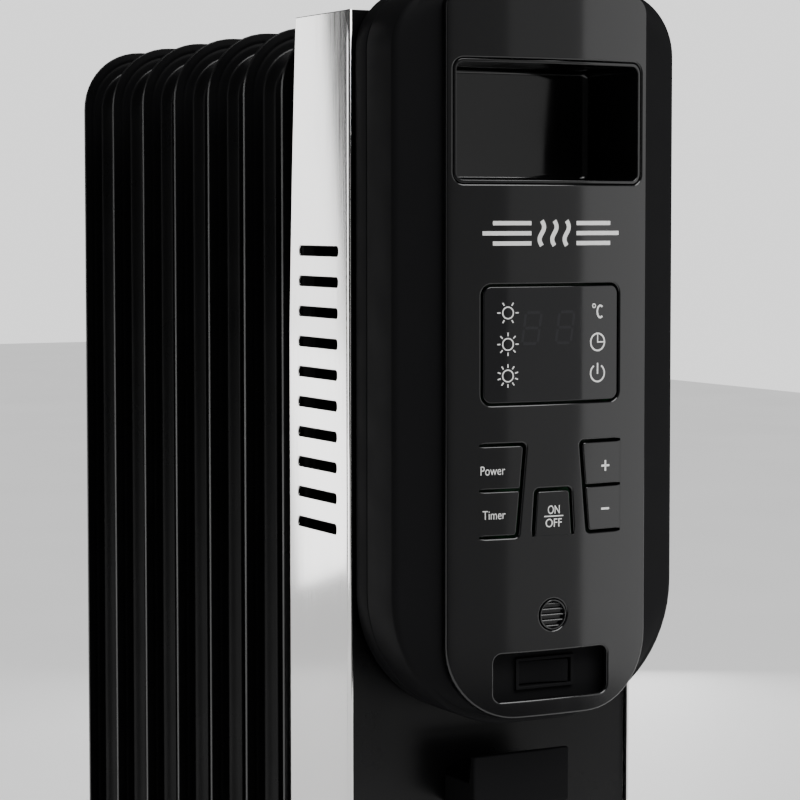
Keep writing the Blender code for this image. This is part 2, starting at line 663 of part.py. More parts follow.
def make_display():
    """Smoked lens set in the window with a flange behind it, LED digits and their board."""
    reach = GROOVE
    lens = curved_slab("display_lens", 0.0002, PANEL_WALL + 0.0010, LENS_REACH, 0.440, 0.512)
    common(lens, prism("outline", rounded(WINDOW_HALF_WIDTH - reach, WINDOW_Z - WINDOW_HALF_HEIGHT + reach,
                                          WINDOW_Z + WINDOW_HALF_HEIGHT - reach, WINDOW_CORNER - reach,
                                          WINDOW_CORNER - reach), depth(-0.03), depth(0)))
    rim = curved_slab("rim", PANEL_WALL + GAP, PANEL_WALL + 0.0013, LENS_REACH, 0.440, 0.512)
    common(rim, prism("outline", rounded(0.0400, WINDOW_Z - 0.0305, WINDOW_Z + 0.0305, 0.006, 0.006, 2),
                      depth(-0.03), depth(0)))
    join(lens, rim)
    finish(lens, LENS, (0, depth(-0.012), WINDOW_Z))
    digits = block("led_digits", (-0.0170, depth(-0.0110), 0.4680), (0.0120, depth(-0.0033), 0.4930))
    finish(digits, BLACK_PLASTIC, (-0.0025, depth(-0.0033), 0.4805))
    board = block("display_board", (-BOARD_HALF_WIDTH, depth(BOARD_FACE), 0.4460),
                  (BOARD_HALF_WIDTH, depth(BOARD_FACE + BOARD_THICKNESS), 0.5060))
    finish(board, BOARD, (0, depth(BOARD_FACE), WINDOW_Z))


def make_key_board():
    """Board behind the keys with one tactile switch under each stem."""
    board = block("key_board", (-BOARD_HALF_WIDTH, depth(BOARD_FACE), 0.3840),
                  (BOARD_HALF_WIDTH, depth(BOARD_FACE + BOARD_THICKNESS), 0.4360))
    upper, lower = side_key_heights()
    spots = [(side * KEY_STEM_X, (low + high) / 2) for side in (-1, 1) for low, high in (upper, lower)]
    spots.append((0, CENTRE_STEM_Z))
    switches = []
    for x, z in spots:
        top = panel_y(x) + 0.0074
        switches.append(block("switch", (x - 0.003, top + 0.0008, z - 0.003),
                              (x + 0.003, depth(-0.0025), z + 0.003)))
        switches.append(rod("plunger", 0.0017, top, top + 0.002, (x, 0, z), "Y", 10))
    join(board, *switches)
    finish(board, BOARD, (0, depth(BOARD_FACE), KEY_MIDDLE))


def make_power_board():
    """Power board in the housing with two relays and a transformer in front of it."""
    face = depth(POWER_BOARD_DEPTH)
    board = block("power_board", (-POWER_BOARD_HALF_WIDTH, face, 0.3950),
                  (POWER_BOARD_HALF_WIDTH, face + BOARD_THICKNESS, 0.5350))
    finish(board, BOARD, (0, face, 0.4650))
    for name, x in (("relay_left", -0.036), ("relay_right", -0.012)):
        relay = block(name, (x - RELAY_HALF_WIDTH, face - GAP - RELAY_HEIGHT, 0.4150),
                      (x + RELAY_HALF_WIDTH, face - GAP, 0.4300))
        finish(relay, BLACK_PLASTIC, (x, face, 0.4225))
    core = block("transformer", (0.010, face - GAP - 0.012, 0.4080), (0.042, face - GAP, 0.4340))
    coil = block("coil", (0.016, face - GAP - 0.020, 0.4120), (0.036, face - GAP - 0.004, 0.4300))
    join(core, coil)
    finish(core, BARE_STEEL, (0.026, face, 0.4210))


def make_sensor():
    """Round slatted grille in the panel with the room sensor's bead behind it."""
    y = panel_y(0, 0.0010)
    grille = rod("sensor_grille", GRILLE_RADIUS, y, y + 0.0030, (0, 0, GRILLE_Z), "Y", 24)
    slots = []
    for i in range(SLAT_COUNT):
        z = GRILLE_Z + SLAT_PITCH * (i - (SLAT_COUNT - 1) / 2)
        reach = math.sqrt((GRILLE_RADIUS - 0.0012)**2 - (abs(z - GRILLE_Z) + 0.0007)**2)
        slots.append(block("slot", (-reach, y - 0.01, z - 0.0007), (reach, y + 0.01, z + 0.0007)))
    cut(grille, *slots)
    finish(grille, BLACK_PLASTIC, (0, y, GRILLE_Z), smooth=True)
    bead = turned("room_sensor", [(0.0008, y + 0.0045), (0.0018, y + 0.0055), (0.0018, y + 0.0085),
                                  (0.0008, y + 0.0095)], (0, 0, GRILLE_Z), "Y", 10)
    finish(bead, BLACK_PLASTIC, (0, y + 0.0045, GRILLE_Z), smooth=True)


def make_rocker():
    """Mains rocker switch: a body whose plate closes the panel's recess, and a tilting key."""
    plate_y = depth(ROCKER_PLATE_DEPTH)
    body = prism("rocker_body", rounded(0.0325, SWITCH_Z - 0.0125, SWITCH_Z + 0.0125, SWITCH_CORNER,
                                       SWITCH_CORNER, 2),
                 plate_y, plate_y + 0.002)
    bezel = block("bezel", (-0.0155, plate_y - 0.0015, SWITCH_Z - 0.0075),
                  (0.0155, plate_y + 0.018, SWITCH_Z + 0.0075))
    join(body, bezel)
    well = block("well", (-0.0138, plate_y - 0.01, SWITCH_Z - 0.0058),
                 (0.0138, plate_y + 0.0115, SWITCH_Z + 0.0058))
    cut(body, well)
    finish(body, BLACK_PLASTIC, (0, plate_y, SWITCH_Z))
    pivot = (0, plate_y + ROCKER_PIVOT, SWITCH_Z)
    reach = ROCKER_HALF_LENGTH
    section = [(-reach, -0.0050)] + [(reach * s, -0.0050 + 0.0014 * (1 - s * s)) for s in (-0.5, 0, 0.5)]
    section += [(reach, -0.0050), (reach - 0.0010, 0.0005), (0.0040, 0.0040), (-0.0040, 0.0040),
                (-reach + 0.0010, 0.0005)]
    turn = Matrix.Rotation(-ROCKER_TILT, 3, "Z")
    tilted = [turn @ Vector((x, y, 0)) for x, y in section]
    key = prism("rocker_key", [(p.x, pivot[1] + p.y) for p in tilted], SWITCH_Z - ROCKER_HALF_HEIGHT,
                SWITCH_Z + ROCKER_HALF_HEIGHT, "Z")
    finish(key, BLACK_PLASTIC, pivot)


# Feet and castors

def make_foot(name, y):
    """A channel across the heater, open below, with holes for the U-bolt and the castor stems."""
    top = FIN_LOW - GAP
    low = top - FOOT_HEIGHT
    outline = rounded(FOOT_HALF_WIDTH, low, top, 0.0006, 0.004, 2, y)
    foot = prism(name, outline, -FOOT_HALF_LENGTH, FOOT_HALF_LENGTH, "X")
    inside = prism("inside", rounded(FOOT_HALF_WIDTH - FOOT_WALL, low - 0.01, top - FOOT_WALL, 0.0005,
                                     0.002, 2, y), -FOOT_HALF_LENGTH + FOOT_WALL,
                   FOOT_HALF_LENGTH - FOOT_WALL, "X")
    holes = [rod("hole", U_BOLT_RADIUS + GAP, low - 0.01, top + 0.01, (side * U_BOLT_BEND, y, 0), "Z", 12)
             for side in (-1, 1)]
    holes += [rod("hole", STEM_RADIUS + GAP, low - 0.01, top + 0.01, (side * CASTOR_X, y, 0), "Z", 16)
              for side in (-1, 1)]
    cut(foot, inside, *holes)
    finish(foot, BLACK_STEEL, (0, y, top))


def make_u_bolt(name, y):
    top = FIN_LOW - GAP
    route = [(-U_BOLT_BEND, y, top - FOOT_HEIGHT + 0.001), (-U_BOLT_BEND, y, LOWER_HEADER_Z - 0.02)]
    route += [(x, y, z) for x, z in arc((0, LOWER_HEADER_Z), U_BOLT_BEND, 180, 0, 12)]
    route += [(U_BOLT_BEND, y, LOWER_HEADER_Z - 0.02), (U_BOLT_BEND, y, top - FOOT_HEIGHT + 0.001)]
    tube_along(name, route, U_BOLT_RADIUS, BARE_STEEL, (0, y, LOWER_HEADER_Z))


def make_wing_nut(name, x, y):
    """A wing nut under the channel's web, its wings along the channel's width."""
    top = FIN_LOW - GAP - FOOT_WALL - GAP
    nut = turned(name, [(0.0042, top - 0.0080), (0.0056, top)], (x, y, 0), "Z", 12)
    wings = [prism("wing", [(y + side * 0.003, top - 0.002), (y + side * 0.011, top - 0.0060),
                            (y + side * 0.013, top - 0.0120), (y + side * 0.009, top - 0.0120),
                            (y + side * 0.003, top - 0.0075)], x - 0.0010, x + 0.0010, "X")
             for side in (-1, 1)]
    join(nut, *wings)
    cut(nut, rod("bore", U_BOLT_RADIUS + GAP, top - 0.03, top + 0.03, (x, y, 0), "Z", 12))
    finish(nut, BARE_STEEL, (x, y, top))


def make_castor(corner, x, y):
    """A twin-wheel castor: fork with stem and hood on its swivel axis, wheels on their own axle."""
    axle = (x, y + CASTOR_TRAIL, WHEEL_RADIUS)
    fork_top = FIN_LOW - GAP - FOOT_HEIGHT - 0.0010
    hood_radius = WHEEL_RADIUS + 0.0045
    web = [(y - 0.008, fork_top), (y - 0.008, WHEEL_RADIUS + 0.012), (axle[1] - 0.006, WHEEL_RADIUS - 0.004),
           (axle[1] + 0.006, WHEEL_RADIUS - 0.004), (axle[1] + 0.010, WHEEL_RADIUS + 0.014),
           (y + 0.010, fork_top)]
    fork = prism(f"castor_fork_{corner}", web, x - WEB_HALF_WIDTH, x + WEB_HALF_WIDTH, "X")
    hood = arc((axle[1], axle[2]), hood_radius, 20, 160, 8)
    hood += arc((axle[1], axle[2]), WHEEL_RADIUS + 0.0020, 160, 20, 8)
    cover = prism("hood", hood, x - WHEEL_HALF_WIDTH - 0.001, x + WHEEL_HALF_WIDTH + 0.001, "X")
    collar = turned("collar", [(COLLAR_RADIUS, WHEEL_RADIUS + 0.0215), (COLLAR_RADIUS, fork_top)],
                    (x, y, 0), "Z", 16)
    stem = rod("stem", STEM_RADIUS, fork_top - 0.004, FIN_LOW - GAP - 0.0004, (x, y, 0), "Z", 16)
    join(fork, cover, collar, stem)
    cut(fork, rod("bore", AXLE_RADIUS + GAP, x - TOOL_REACH, x + TOOL_REACH, (0, axle[1], axle[2]), "X", 12))
    finish(fork, BLACK_PLASTIC, (x, y, fork_top))
    r, g, w = WHEEL_RADIUS, WHEEL_HALF_GAP, WHEEL_HALF_WIDTH
    profile = [(r - 0.004, -w), (r, -w + 0.002), (r, -g - 0.001), (r - 0.001, -g), (AXLE_RADIUS, -g),
               (AXLE_RADIUS, g), (r - 0.001, g), (r, g + 0.001), (r, w - 0.002), (r - 0.004, w)]
    wheel = turned(f"castor_wheel_{corner}", profile, axle, "X", 24)
    finish(wheel, RUBBER, axle, smooth=True)


def make_undercarriage():
    """Front and rear foot between two fins, each hung from the lower header by its U-bolt."""
    ys = fin_depths()
    for end, y in (("front", depth((ys[0] + ys[1]) / 2)), ("rear", depth((ys[-2] + ys[-1]) / 2))):
        make_foot(f"foot_{end}", y)
        make_u_bolt(f"u_bolt_{end}", y)
        for side_name, side in (("left", -1), ("right", 1)):
            make_wing_nut(f"wing_nut_{end}_{side_name}", side * U_BOLT_BEND, y)
            make_castor(f"{end}_{side_name}", side * CASTOR_X, y)


def build():
    for old in list(bpy.data.objects):
        bpy.data.objects.remove(old)
    make_fins()
    make_headers()
    make_element()
    make_safety_parts()
    make_end_case()
    make_side_strips()
    make_cord_fittings()
    make_housing()
    make_panel()
    make_pocket()
    make_keys()
    make_display()
    make_key_board()
    make_power_board()
    make_sensor()
    make_rocker()
    make_undercarriage()


build()
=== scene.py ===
import math

import bpy
import numpy as np
from mathutils.geometry import delaunay_2d_cdt
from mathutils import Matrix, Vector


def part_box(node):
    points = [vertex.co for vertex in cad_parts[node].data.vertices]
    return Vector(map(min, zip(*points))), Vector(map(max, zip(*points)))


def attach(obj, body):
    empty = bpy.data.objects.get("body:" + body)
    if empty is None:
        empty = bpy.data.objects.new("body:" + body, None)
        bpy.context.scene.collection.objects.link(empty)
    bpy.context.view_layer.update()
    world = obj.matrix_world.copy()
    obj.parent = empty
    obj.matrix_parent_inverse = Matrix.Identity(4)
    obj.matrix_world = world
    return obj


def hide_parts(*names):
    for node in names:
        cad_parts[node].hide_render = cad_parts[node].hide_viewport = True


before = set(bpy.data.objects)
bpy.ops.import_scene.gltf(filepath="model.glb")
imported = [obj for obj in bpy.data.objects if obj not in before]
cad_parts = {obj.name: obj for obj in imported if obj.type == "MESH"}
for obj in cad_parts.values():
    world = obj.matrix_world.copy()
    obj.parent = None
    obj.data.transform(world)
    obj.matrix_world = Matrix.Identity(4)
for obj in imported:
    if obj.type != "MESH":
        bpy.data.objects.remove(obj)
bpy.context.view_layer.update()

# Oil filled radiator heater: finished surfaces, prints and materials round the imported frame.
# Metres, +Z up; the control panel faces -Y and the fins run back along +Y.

mm = 0.001
fins = [f"fin_{i + 1}" for i in range(7)]
corners = [f"{end}_{side}" for end in ("front", "rear") for side in ("left", "right")]


def cornersOf(node):
    low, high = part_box(node)
    return np.array(low), np.array(high)


def middleOf(node):
    low, high = cornersOf(node)
    return (low + high) / 2


# shapes, worked out as whole arrays

def addObject(name, data):
    made = bpy.data.objects.new(name, data)
    bpy.context.collection.objects.link(made)
    return made


def unit(vectors):
    length = np.linalg.norm(vectors, axis=-1, keepdims=True)
    return vectors / np.maximum(length, 1e-12)


def meshPiece(name, points, faceSets, normals=None, sharp=35):
    # points (n, 3); faceSets are arrays of corner numbers, one row a face; turned outwards by volume
    volume = 0.0
    for faces in faceSets:
        first = points[faces[:, 0]]
        for k in range(1, faces.shape[1] - 1):
            volume += np.einsum("ij,ij->", first, np.cross(points[faces[:, k]], points[faces[:, k + 1]]))
    if volume < 0:
        faceSets = [faces[:, ::-1] for faces in faceSets]
    loops = np.concatenate([faces.ravel() for faces in faceSets]).astype(np.int32)
    sizes = np.concatenate([np.full(len(faces), faces.shape[1]) for faces in faceSets])
    starts = (np.cumsum(sizes) - sizes).astype(np.int32)
    mesh = bpy.data.meshes.new(name)
    mesh.vertices.add(len(points))
    mesh.vertices.foreach_set("co", points.astype(np.float32).ravel())
    mesh.loops.add(len(loops))
    mesh.loops.foreach_set("vertex_index", loops)
    mesh.polygons.add(len(sizes))
    mesh.polygons.foreach_set("loop_start", starts)
    mesh.update(calc_edges=True)
    mesh.shade_smooth()
    if normals is None:
        mesh.set_sharp_from_angle(angle=math.radians(sharp))
    else:
        mesh.normals_split_custom_set_from_vertices(normals.tolist())
    return addObject(name, mesh)


def gridFaces(rows, columns, wrapRows=False):
    # quads of a grid whose columns close on themselves; rows close too if asked
    r = np.arange(rows if wrapRows else rows - 1)[:, None]
    c = np.arange(columns)[None, :]
    up = (r + 1) % rows
    side = (c + 1) % columns
    quads = np.stack([r * columns + c, r * columns + side, up * columns + side, up * columns + c], -1)
    return quads.reshape(-1, 4)


def ringPiece(name, rings, wrap=False, sharp=35):
    # rings (k, n, 3) skinned in turn; the two ends are closed by flat faces unless they wrap
    count, size = rings.shape[:2]
    faceSets = [gridFaces(count, size, wrap)]
    if not wrap:
        faceSets.append(np.arange(size)[None, ::-1])
        faceSets.append(np.arange(size)[None, :] + (count - 1) * size)
    return meshPiece(name, rings.reshape(-1, 3), faceSets, None, sharp)


def lathePiece(name, profile, centre, axis="Z", steps=64, sharp=35):
    # point = centre + radius (cos a, sin a) across the axis + height along it
    turn = np.linspace(0, 2 * np.pi, steps, endpoint=False)
    radius, height = np.array(profile, float).T
    a = radius[:, None] * np.cos(turn)
    b = radius[:, None] * np.sin(turn)
    h = np.repeat(height[:, None], steps, 1)
    order = {"X": (h, a, b), "Y": (a, h, b), "Z": (a, b, h)}[axis]
    return ringPiece(name, np.stack(order, -1) + np.array(centre, float), False, sharp)


def tubePiece(name, path, radius, steps=20):
    # a circle carried along a path that lies in one plane across Y
    path = np.array(path, float)
    along = unit(np.gradient(path, axis=0))
    side = np.array([0.0, 1.0, 0.0])
    up = unit(np.cross(along, side))
    turn = np.linspace(0, 2 * np.pi, steps, endpoint=False)[None, :, None]
    rings = path[:, None] + radius * (np.cos(turn) * side + np.sin(turn) * up[:, None])
    return ringPiece(name, rings)


def roundedLoop(centre, halfWidth, low, high, lowCorner, highCorner, steps=10):
    # upright rectangle with quarter circles at its corners, anticlockwise from bottom right
    turn = np.linspace(0, np.pi / 2, steps + 1)
    bottom = low + lowCorner
    top = high - highCorner
    parts = []
    for side, z, corner, start in ((1, bottom, lowCorner, -90), (1, top, highCorner, 0),
                                   (-1, top, highCorner, 90), (-1, bottom, lowCorner, 180)):
        a = turn + math.radians(start)
        parts.append(np.stack([centre + side * (halfWidth - corner) + corner * np.cos(a),
                               z + corner * np.sin(a)], 1))
    return np.concatenate(parts)


def corneredLoop(points, radii, steps=6):
    # polygon whose corners are arcs tangent to both sides; returned anticlockwise
    points = np.array(points, float)
    radii = np.array(radii, float)
    x, z = points.T
    if np.sum(x * np.roll(z, -1) - np.roll(x, -1) * z) < 0:
        points, radii = points[::-1], radii[::-1]
    back = unit(np.roll(points, 1, 0) - points)
    ahead = unit(np.roll(points, -1, 0) - points)
    half = np.arccos(np.clip(np.sum(back * ahead, 1), -1, 1)) / 2
    centre = points + unit(back + ahead) * (radii / np.sin(half))[:, None]
    start = points + back * (radii / np.tan(half))[:, None] - centre
    end = points + ahead * (radii / np.tan(half))[:, None] - centre
    a0 = np.arctan2(start[:, 1], start[:, 0])
    sweep = (np.arctan2(end[:, 1], end[:, 0]) - a0 + np.pi) % (2 * np.pi) - np.pi
    a = a0[:, None] + sweep[:, None] * np.linspace(0, 1, steps + 1)
    arcs = np.stack([np.cos(a), np.sin(a)], -1) * radii[:, None, None] + centre[:, None]
    return arcs.reshape(-1, 2)


def spacedLoop(loop, spacing):
    # extra points on every side longer than the spacing
    ahead = np.roll(loop, -1, 0)
    count = np.maximum(np.ceil(np.linalg.norm(ahead - loop, axis=1) / spacing), 1).astype(int)
    share = np.concatenate([np.arange(n) / n for n in count])[:, None]
    return np.repeat(loop, count, 0) * (1 - share) + np.repeat(ahead, count, 0) * share


def awayFrom(loop):
    # mitred outward direction at each point of an anticlockwise loop
    edge = unit(np.roll(loop, -1, 0) - loop)
    normal = np.stack([edge[:, 1], -edge[:, 0]], 1)
    both = unit(normal + np.roll(normal, 1, 0))
    return both / np.maximum(np.sum(both * normal, 1, keepdims=True), 0.3)


def insideLoop(points, loop):
    # even-odd rule for all points against all edges at once
    x, z = points[:, 0:1], points[:, 1:2]
    x0, z0 = loop.T
    x1, z1 = np.roll(loop, -1, 0).T
    crosses = (z0 > z) != (z1 > z)
    run = np.where(z1 == z0, 1e-12, z1 - z0)
    return np.sum(crosses & (x < (x1 - x0) * (z - z0) / run + x0), 1) % 2 == 1


def fillBetween(outer, holes, lattice, clear):
    # triangles over the area inside outer and outside the holes; returns the kept free points too
    loops = [outer, *holes]
    edgePoints = np.concatenate(loops)
    keep = insideLoop(lattice, outer)
    for hole in holes:
        keep &= ~insideLoop(lattice, hole)
    free = lattice[keep]
    gap = np.min(np.linalg.norm(free[:, None] - edgePoints[None], axis=2), 1) if len(free) else np.zeros(0)
    free = free[gap > clear]
    points = np.concatenate([edgePoints, free])
    starts = np.cumsum([0] + [len(loop) for loop in loops])
    edges = np.concatenate([np.stack([np.arange(len(loop)), (np.arange(len(loop)) + 1) % len(loop)], 1) + s
                            for loop, s in zip(loops, starts)])
    found = delaunay_2d_cdt(points.tolist(), edges.tolist(), [], 0, 1e-9)
    source = np.array([old[0] for old in found[3]])
    triangles = source[np.array(found[2])]
    centres = points[triangles].mean(1)
    keep = insideLoop(centres, outer)
    for hole in holes:
        keep &= ~insideLoop(centres, hole)
    return free, triangles[keep]


def latticeOf(xs, zs):
    return np.stack(np.meshgrid(xs, zs), -1).reshape(-1, 2)


def sheetPiece(name, place, outer, holes, lattice, rim, thickness, clear, holeRim=None, outerBase=None,
               eases=None, wall=0.0):
    # A sheet between depth 0 and its thickness, place(a, b, depth) giving its points.
    # Every edge is rounded over: offset r (1 - sin t), depth r (1 - cos t), t from 0 to 90 degrees.
    loops = [outer, *holes]
    eases = eases or [np.ones(len(loop)) for loop in loops]
    turn = np.linspace(0, np.pi / 2, 5)
    tiny = 0.08 * mm
    points, normals, quads, frontLoops, backLoops, frontIndex, backIndex = [], [], [], [], [], [], []
    start = 0

    def surface(flat, depth):
        return place(flat[:, 0], flat[:, 1], depth)

    def frontNormal(flat):
        step = 0.02 * mm
        a = surface(flat + [step, 0], 0.0) - surface(flat - [step, 0], 0.0)
        b = surface(flat + [0, step], 0.0) - surface(flat - [0, step], 0.0)
        n = unit(np.cross(a, b))
        toBack = surface(flat, 1 * mm) - surface(flat, 0.0)
        return np.where(np.sum(n * toBack, 1, keepdims=True) > 0, -n, n)

    for which, (loop, ease) in enumerate(zip(loops, eases)):
        outward = awayFrom(loop) * (1 if which == 0 else -1)     # from the material into the open
        radius = (rim if which == 0 or holeRim is None else holeRim) * ease
        base = np.full(len(loop), thickness) if which or outerBase is None else outerBase(loop)
        rows = [(radius * (1 - math.sin(t)), radius * (1 - math.cos(t)), t) for t in turn]
        flush = np.zeros(len(loop))
        rows += [(flush, base - tiny, np.pi / 2), (flush + tiny, base, np.pi)]
        if which == 0 and wall:
            rows += [(flush + wall, base, np.pi), (flush + wall, flush + thickness, np.pi)]
        for inset, depth, tilt in rows:
            flat = loop - outward * inset[:, None]
            n = frontNormal(flat)
            side = unit(surface(flat + outward * 0.02 * mm, depth) - surface(flat, depth))
            back = unit(surface(flat, depth + 1 * mm) - surface(flat, depth))
            facing = n * math.cos(tilt) + side * math.sin(tilt) if tilt < 2 else back
            points.append(surface(flat, depth))
            normals.append(unit(facing))
            if tilt == 0:
                frontLoops.append(flat)
                frontIndex.append(start + np.arange(len(loop)))
        backLoops.append(flat)
        last = start + (len(rows) - 1) * len(loop)
        backIndex.append(last + np.arange(len(loop)))
        quads.append(gridFaces(len(rows), len(loop)) + start)
        if which:
            quads[-1] = quads[-1][:, ::-1]
        start += len(rows) * len(loop)
    faceSets = [np.concatenate(quads)]
    bothFaces = ((frontLoops, frontIndex, 0.0, 1), (backLoops, backIndex, thickness, -1))
    for loopSet, index, depth, sign in bothFaces:
        free, triangles = fillBetween(loopSet[0], loopSet[1:], lattice, clear)
        index = np.concatenate([*index, start + np.arange(len(free))])
        if len(free):
            points.append(surface(free, depth))
            normals.append(frontNormal(free) * sign)
        start += len(free)
        faceSets.append(index[triangles])
    return closedPiece(name, np.concatenate(points), faceSets, np.concatenate(normals))


def closedPiece(name, points, faceSets, normals):
    # turns every face to agree with the normals at its corners, then makes the piece
    turned = []
    for faces in faceSets:
        a, b, c = points[faces[:, 0]], points[faces[:, 1]], points[faces[:, 2]]
        flat = np.cross(b - a, c - a)
        if faces.shape[1] == 4:
            flat = flat + np.cross(c - a, points[faces[:, 3]] - a)
        wrong = np.einsum("ij,ij->i", flat, normals[faces].sum(1)) < 0
        faces = faces.copy()
        faces[wrong] = faces[wrong][:, ::-1]
        turned.append(faces)
    return meshPiece(name, points, turned, normals)


def softened(node, width, name, segments=2, angle=30):
    # the frame's own solid with its edges broken by a small bevel
    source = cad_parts[node]
    piece = addObject(name, source.data.copy())
    piece.data.materials.clear()
    weld = piece.modifiers.new("weld", "WELD")
    weld.merge_threshold = 0.00001
    flat = piece.modifiers.new("flat", "DECIMATE")
    flat.decimate_type = "DISSOLVE"
    flat.angle_limit = math.radians(1)
    bevel = piece.modifiers.new("bevel", "BEVEL")
    bevel.width = width
    bevel.segments = segments
    bevel.limit_method = "ANGLE"
    bevel.angle_limit = math.radians(angle)
    piece.data = evaluatedMesh(piece)
    piece.modifiers.clear()
    piece.data.shade_smooth()
    piece.data.set_sharp_from_angle(angle=math.radians(max(angle, 40)))
    weigh = piece.modifiers.new("weigh", "WEIGHTED_NORMAL")
    weigh.keep_sharp = True
    weigh.weight = 80
    piece.data = evaluatedMesh(piece)
    piece.modifiers.clear()
    return piece


def evaluatedMesh(piece):
    bpy.context.view_layer.update()
    return bpy.data.meshes.new_from_object(piece.evaluated_get(bpy.context.evaluated_depsgraph_get()))


def settle(piece, look, body, slot, *nodes):
    # material, body and the frame nodes that a finished piece stands for; the slot argument is not used
    piece.data.materials.clear()
    piece.data.materials.append(look)
    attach(piece, body)
    if nodes:
        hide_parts(*nodes)
    return piece


# materials, named for what each real one is and how its surface was made

def tone(code):
    # sRGB hex to linear
    channels = [int(code[i:i + 2], 16) / 255 for i in (1, 3, 5)]
    return (*[c / 12.92 if c <= 0.04045 else ((c + 0.055) / 1.055) ** 2.4 for c in channels], 1.0)


def addNode(tree, kind, settings=None, links=None):
    node = tree.nodes.new(kind)
    for key, value in (settings or {}).items():
        if isinstance(key, str) and hasattr(node, key):
            setattr(node, key, value)
        else:
            node.inputs[key].default_value = value
    for key, source in (links or {}).items():
        tree.links.new(source, node.inputs[key])
    return node


def blankMaterial(name, code, roughness, metallic=0.0, **sockets):
    made = bpy.data.materials.new(name)
    made.use_nodes = True
    tree = made.node_tree
    shader = tree.nodes["Principled BSDF"]
    shader.inputs["Base Color"].default_value = tone(code)
    shader.inputs["Roughness"].default_value = roughness
    shader.inputs["Metallic"].default_value = metallic
    for key, value in sockets.items():
        shader.inputs[key.replace("_", " ")].default_value = value
    place = addNode(tree, "ShaderNodeTexCoord").outputs["Object"]
    return made, tree, shader, place


def perMetre(size):
    # noise scale that gives features of a size in metres
    return 1.0 / size


def varied(tree, shader, place, size, socket, low, high, detail=4.0, stretch=(1, 1, 1)):
    # a socket that wanders between two values over patches of a real size
    lay = addNode(tree, "ShaderNodeMapping", {"Scale": stretch}, {"Vector": place}).outputs["Vector"]
    noise = addNode(tree, "ShaderNodeTexNoise", {"Scale": perMetre(size), "Detail": detail}, {"Vector": lay})
    if isinstance(low, str):
        blend = addNode(tree, "ShaderNodeMix", {"data_type": "RGBA", 6: tone(low), 7: tone(high)},
                        {0: noise.outputs["Fac"]})
        tree.links.new(blend.outputs[2], shader.inputs[socket])
    else:
        spread = addNode(tree, "ShaderNodeMapRange", {"From Min": 0.3, "From Max": 0.7, "To Min": low,
                                                      "To Max": high}, {"Value": noise.outputs["Fac"]})
        tree.links.new(spread.outputs["Result"], shader.inputs[socket])


def bumped(tree, shader, place, size, depth, detail=2.0, stretch=(1, 1, 1), voronoi=False):
    # relief of a real grain size and depth
    lay = addNode(tree, "ShaderNodeMapping", {"Scale": stretch}, {"Vector": place}).outputs["Vector"]
    if voronoi:
        grain = addNode(tree, "ShaderNodeTexVoronoi", {"Scale": perMetre(size)}, {"Vector": lay})
        height = grain.outputs["Distance"]
    else:
        grain = addNode(tree, "ShaderNodeTexNoise", {"Scale": perMetre(size), "Detail": detail},
                        {"Vector": lay})
        height = grain.outputs["Fac"]
    bump = addNode(tree, "ShaderNodeBump", {"Strength": 1.0, "Distance": depth}, {"Height": height})
    tree.links.new(bump.outputs["Normal"], shader.inputs["Normal"])


def polishedAbs():
    # black ABS moulded in a polished tool: deep gloss, with the slow waviness of a thin moulding
    made, tree, shader, place = blankMaterial("polishedAbs", "#0b0b0c", 0.1, IOR=1.53)
    varied(tree, shader, place, 26 * mm, "Roughness", 0.085, 0.125)
    bumped(tree, shader, place, 30 * mm, 0.010 * mm, 1.0)
    return made


def sparkedAbs():
    # black ABS from a spark-eroded tool: satin, its fine grain breaks up the reflections
    made, tree, shader, place = blankMaterial("sparkedAbs", "#151516", 0.5, IOR=1.45)
    shader.inputs["Specular IOR Level"].default_value = 0.035
    varied(tree, shader, place, 18 * mm, "Roughness", 0.46, 0.54)
    bumped(tree, shader, place, 0.5 * mm, 0.006 * mm)
    return made


def smokedAcrylic():
    # smoke-tinted acrylic, flame polished: the hardest gloss on the front
    made, tree, shader, place = blankMaterial("smokedAcrylic", "#0c0c0e", 0.05, IOR=1.49)
    varied(tree, shader, place, 22 * mm, "Roughness", 0.05, 0.075)
    bumped(tree, shader, place, 40 * mm, 0.005 * mm, 1.0)
    return made


def unlitDigit():
    # diffuser of an unlit digit seen through the smoked window: barely lighter than the window
    made, tree, shader, place = blankMaterial("unlitDigit", "#18181b", 0.07, IOR=1.49)
    varied(tree, shader, place, 4 * mm, "Base Color", "#161619", "#1b1b1e")
    return made


def powderCoat():
    # baked black powder coat on steel: soft gloss with orange peel
    made, tree, shader, place = blankMaterial("powderCoat", "#080809", 0.3, IOR=1.5)
    shader.inputs["Specular IOR Level"].default_value = 0.25
    varied(tree, shader, place, 35 * mm, "Roughness", 0.25, 0.34)
    bumped(tree, shader, place, 1.6 * mm, 0.012 * mm)
    return made


def polishedStainless():
    # stainless strip, mirror buffed along its length: bright, with faint upright polishing lines
    made, tree, shader, place = blankMaterial("polishedStainless", "#e3e2e1", 0.08, 1.0)
    varied(tree, shader, place, 0.8 * mm, "Roughness", 0.055, 0.11, 3.0, (1, 1, 0.02))
    bumped(tree, shader, place, 0.7 * mm, 0.0005 * mm, 2.0, (1, 1, 0.015))
    return made


def padPrint():
    # white pad-printed ink: matt and slightly uneven in cover
    made, tree, shader, place = blankMaterial("padPrint", "#e4e4e2", 0.45)
    varied(tree, shader, place, 1.2 * mm, "Base Color", "#dcdcda", "#ececea")
    return made


def zincPlate():
    # bright zinc plate with clear passivate: grey metal in fine cloudy crystals
    made, tree, shader, place = blankMaterial("zincPlate", "#b4b6b8", 0.32, 1.0)
    varied(tree, shader, place, 3 * mm, "Base Color", "#a3a6aa", "#c2c4c5")
    bumped(tree, shader, place, 0.6 * mm, 0.01 * mm)
    return made


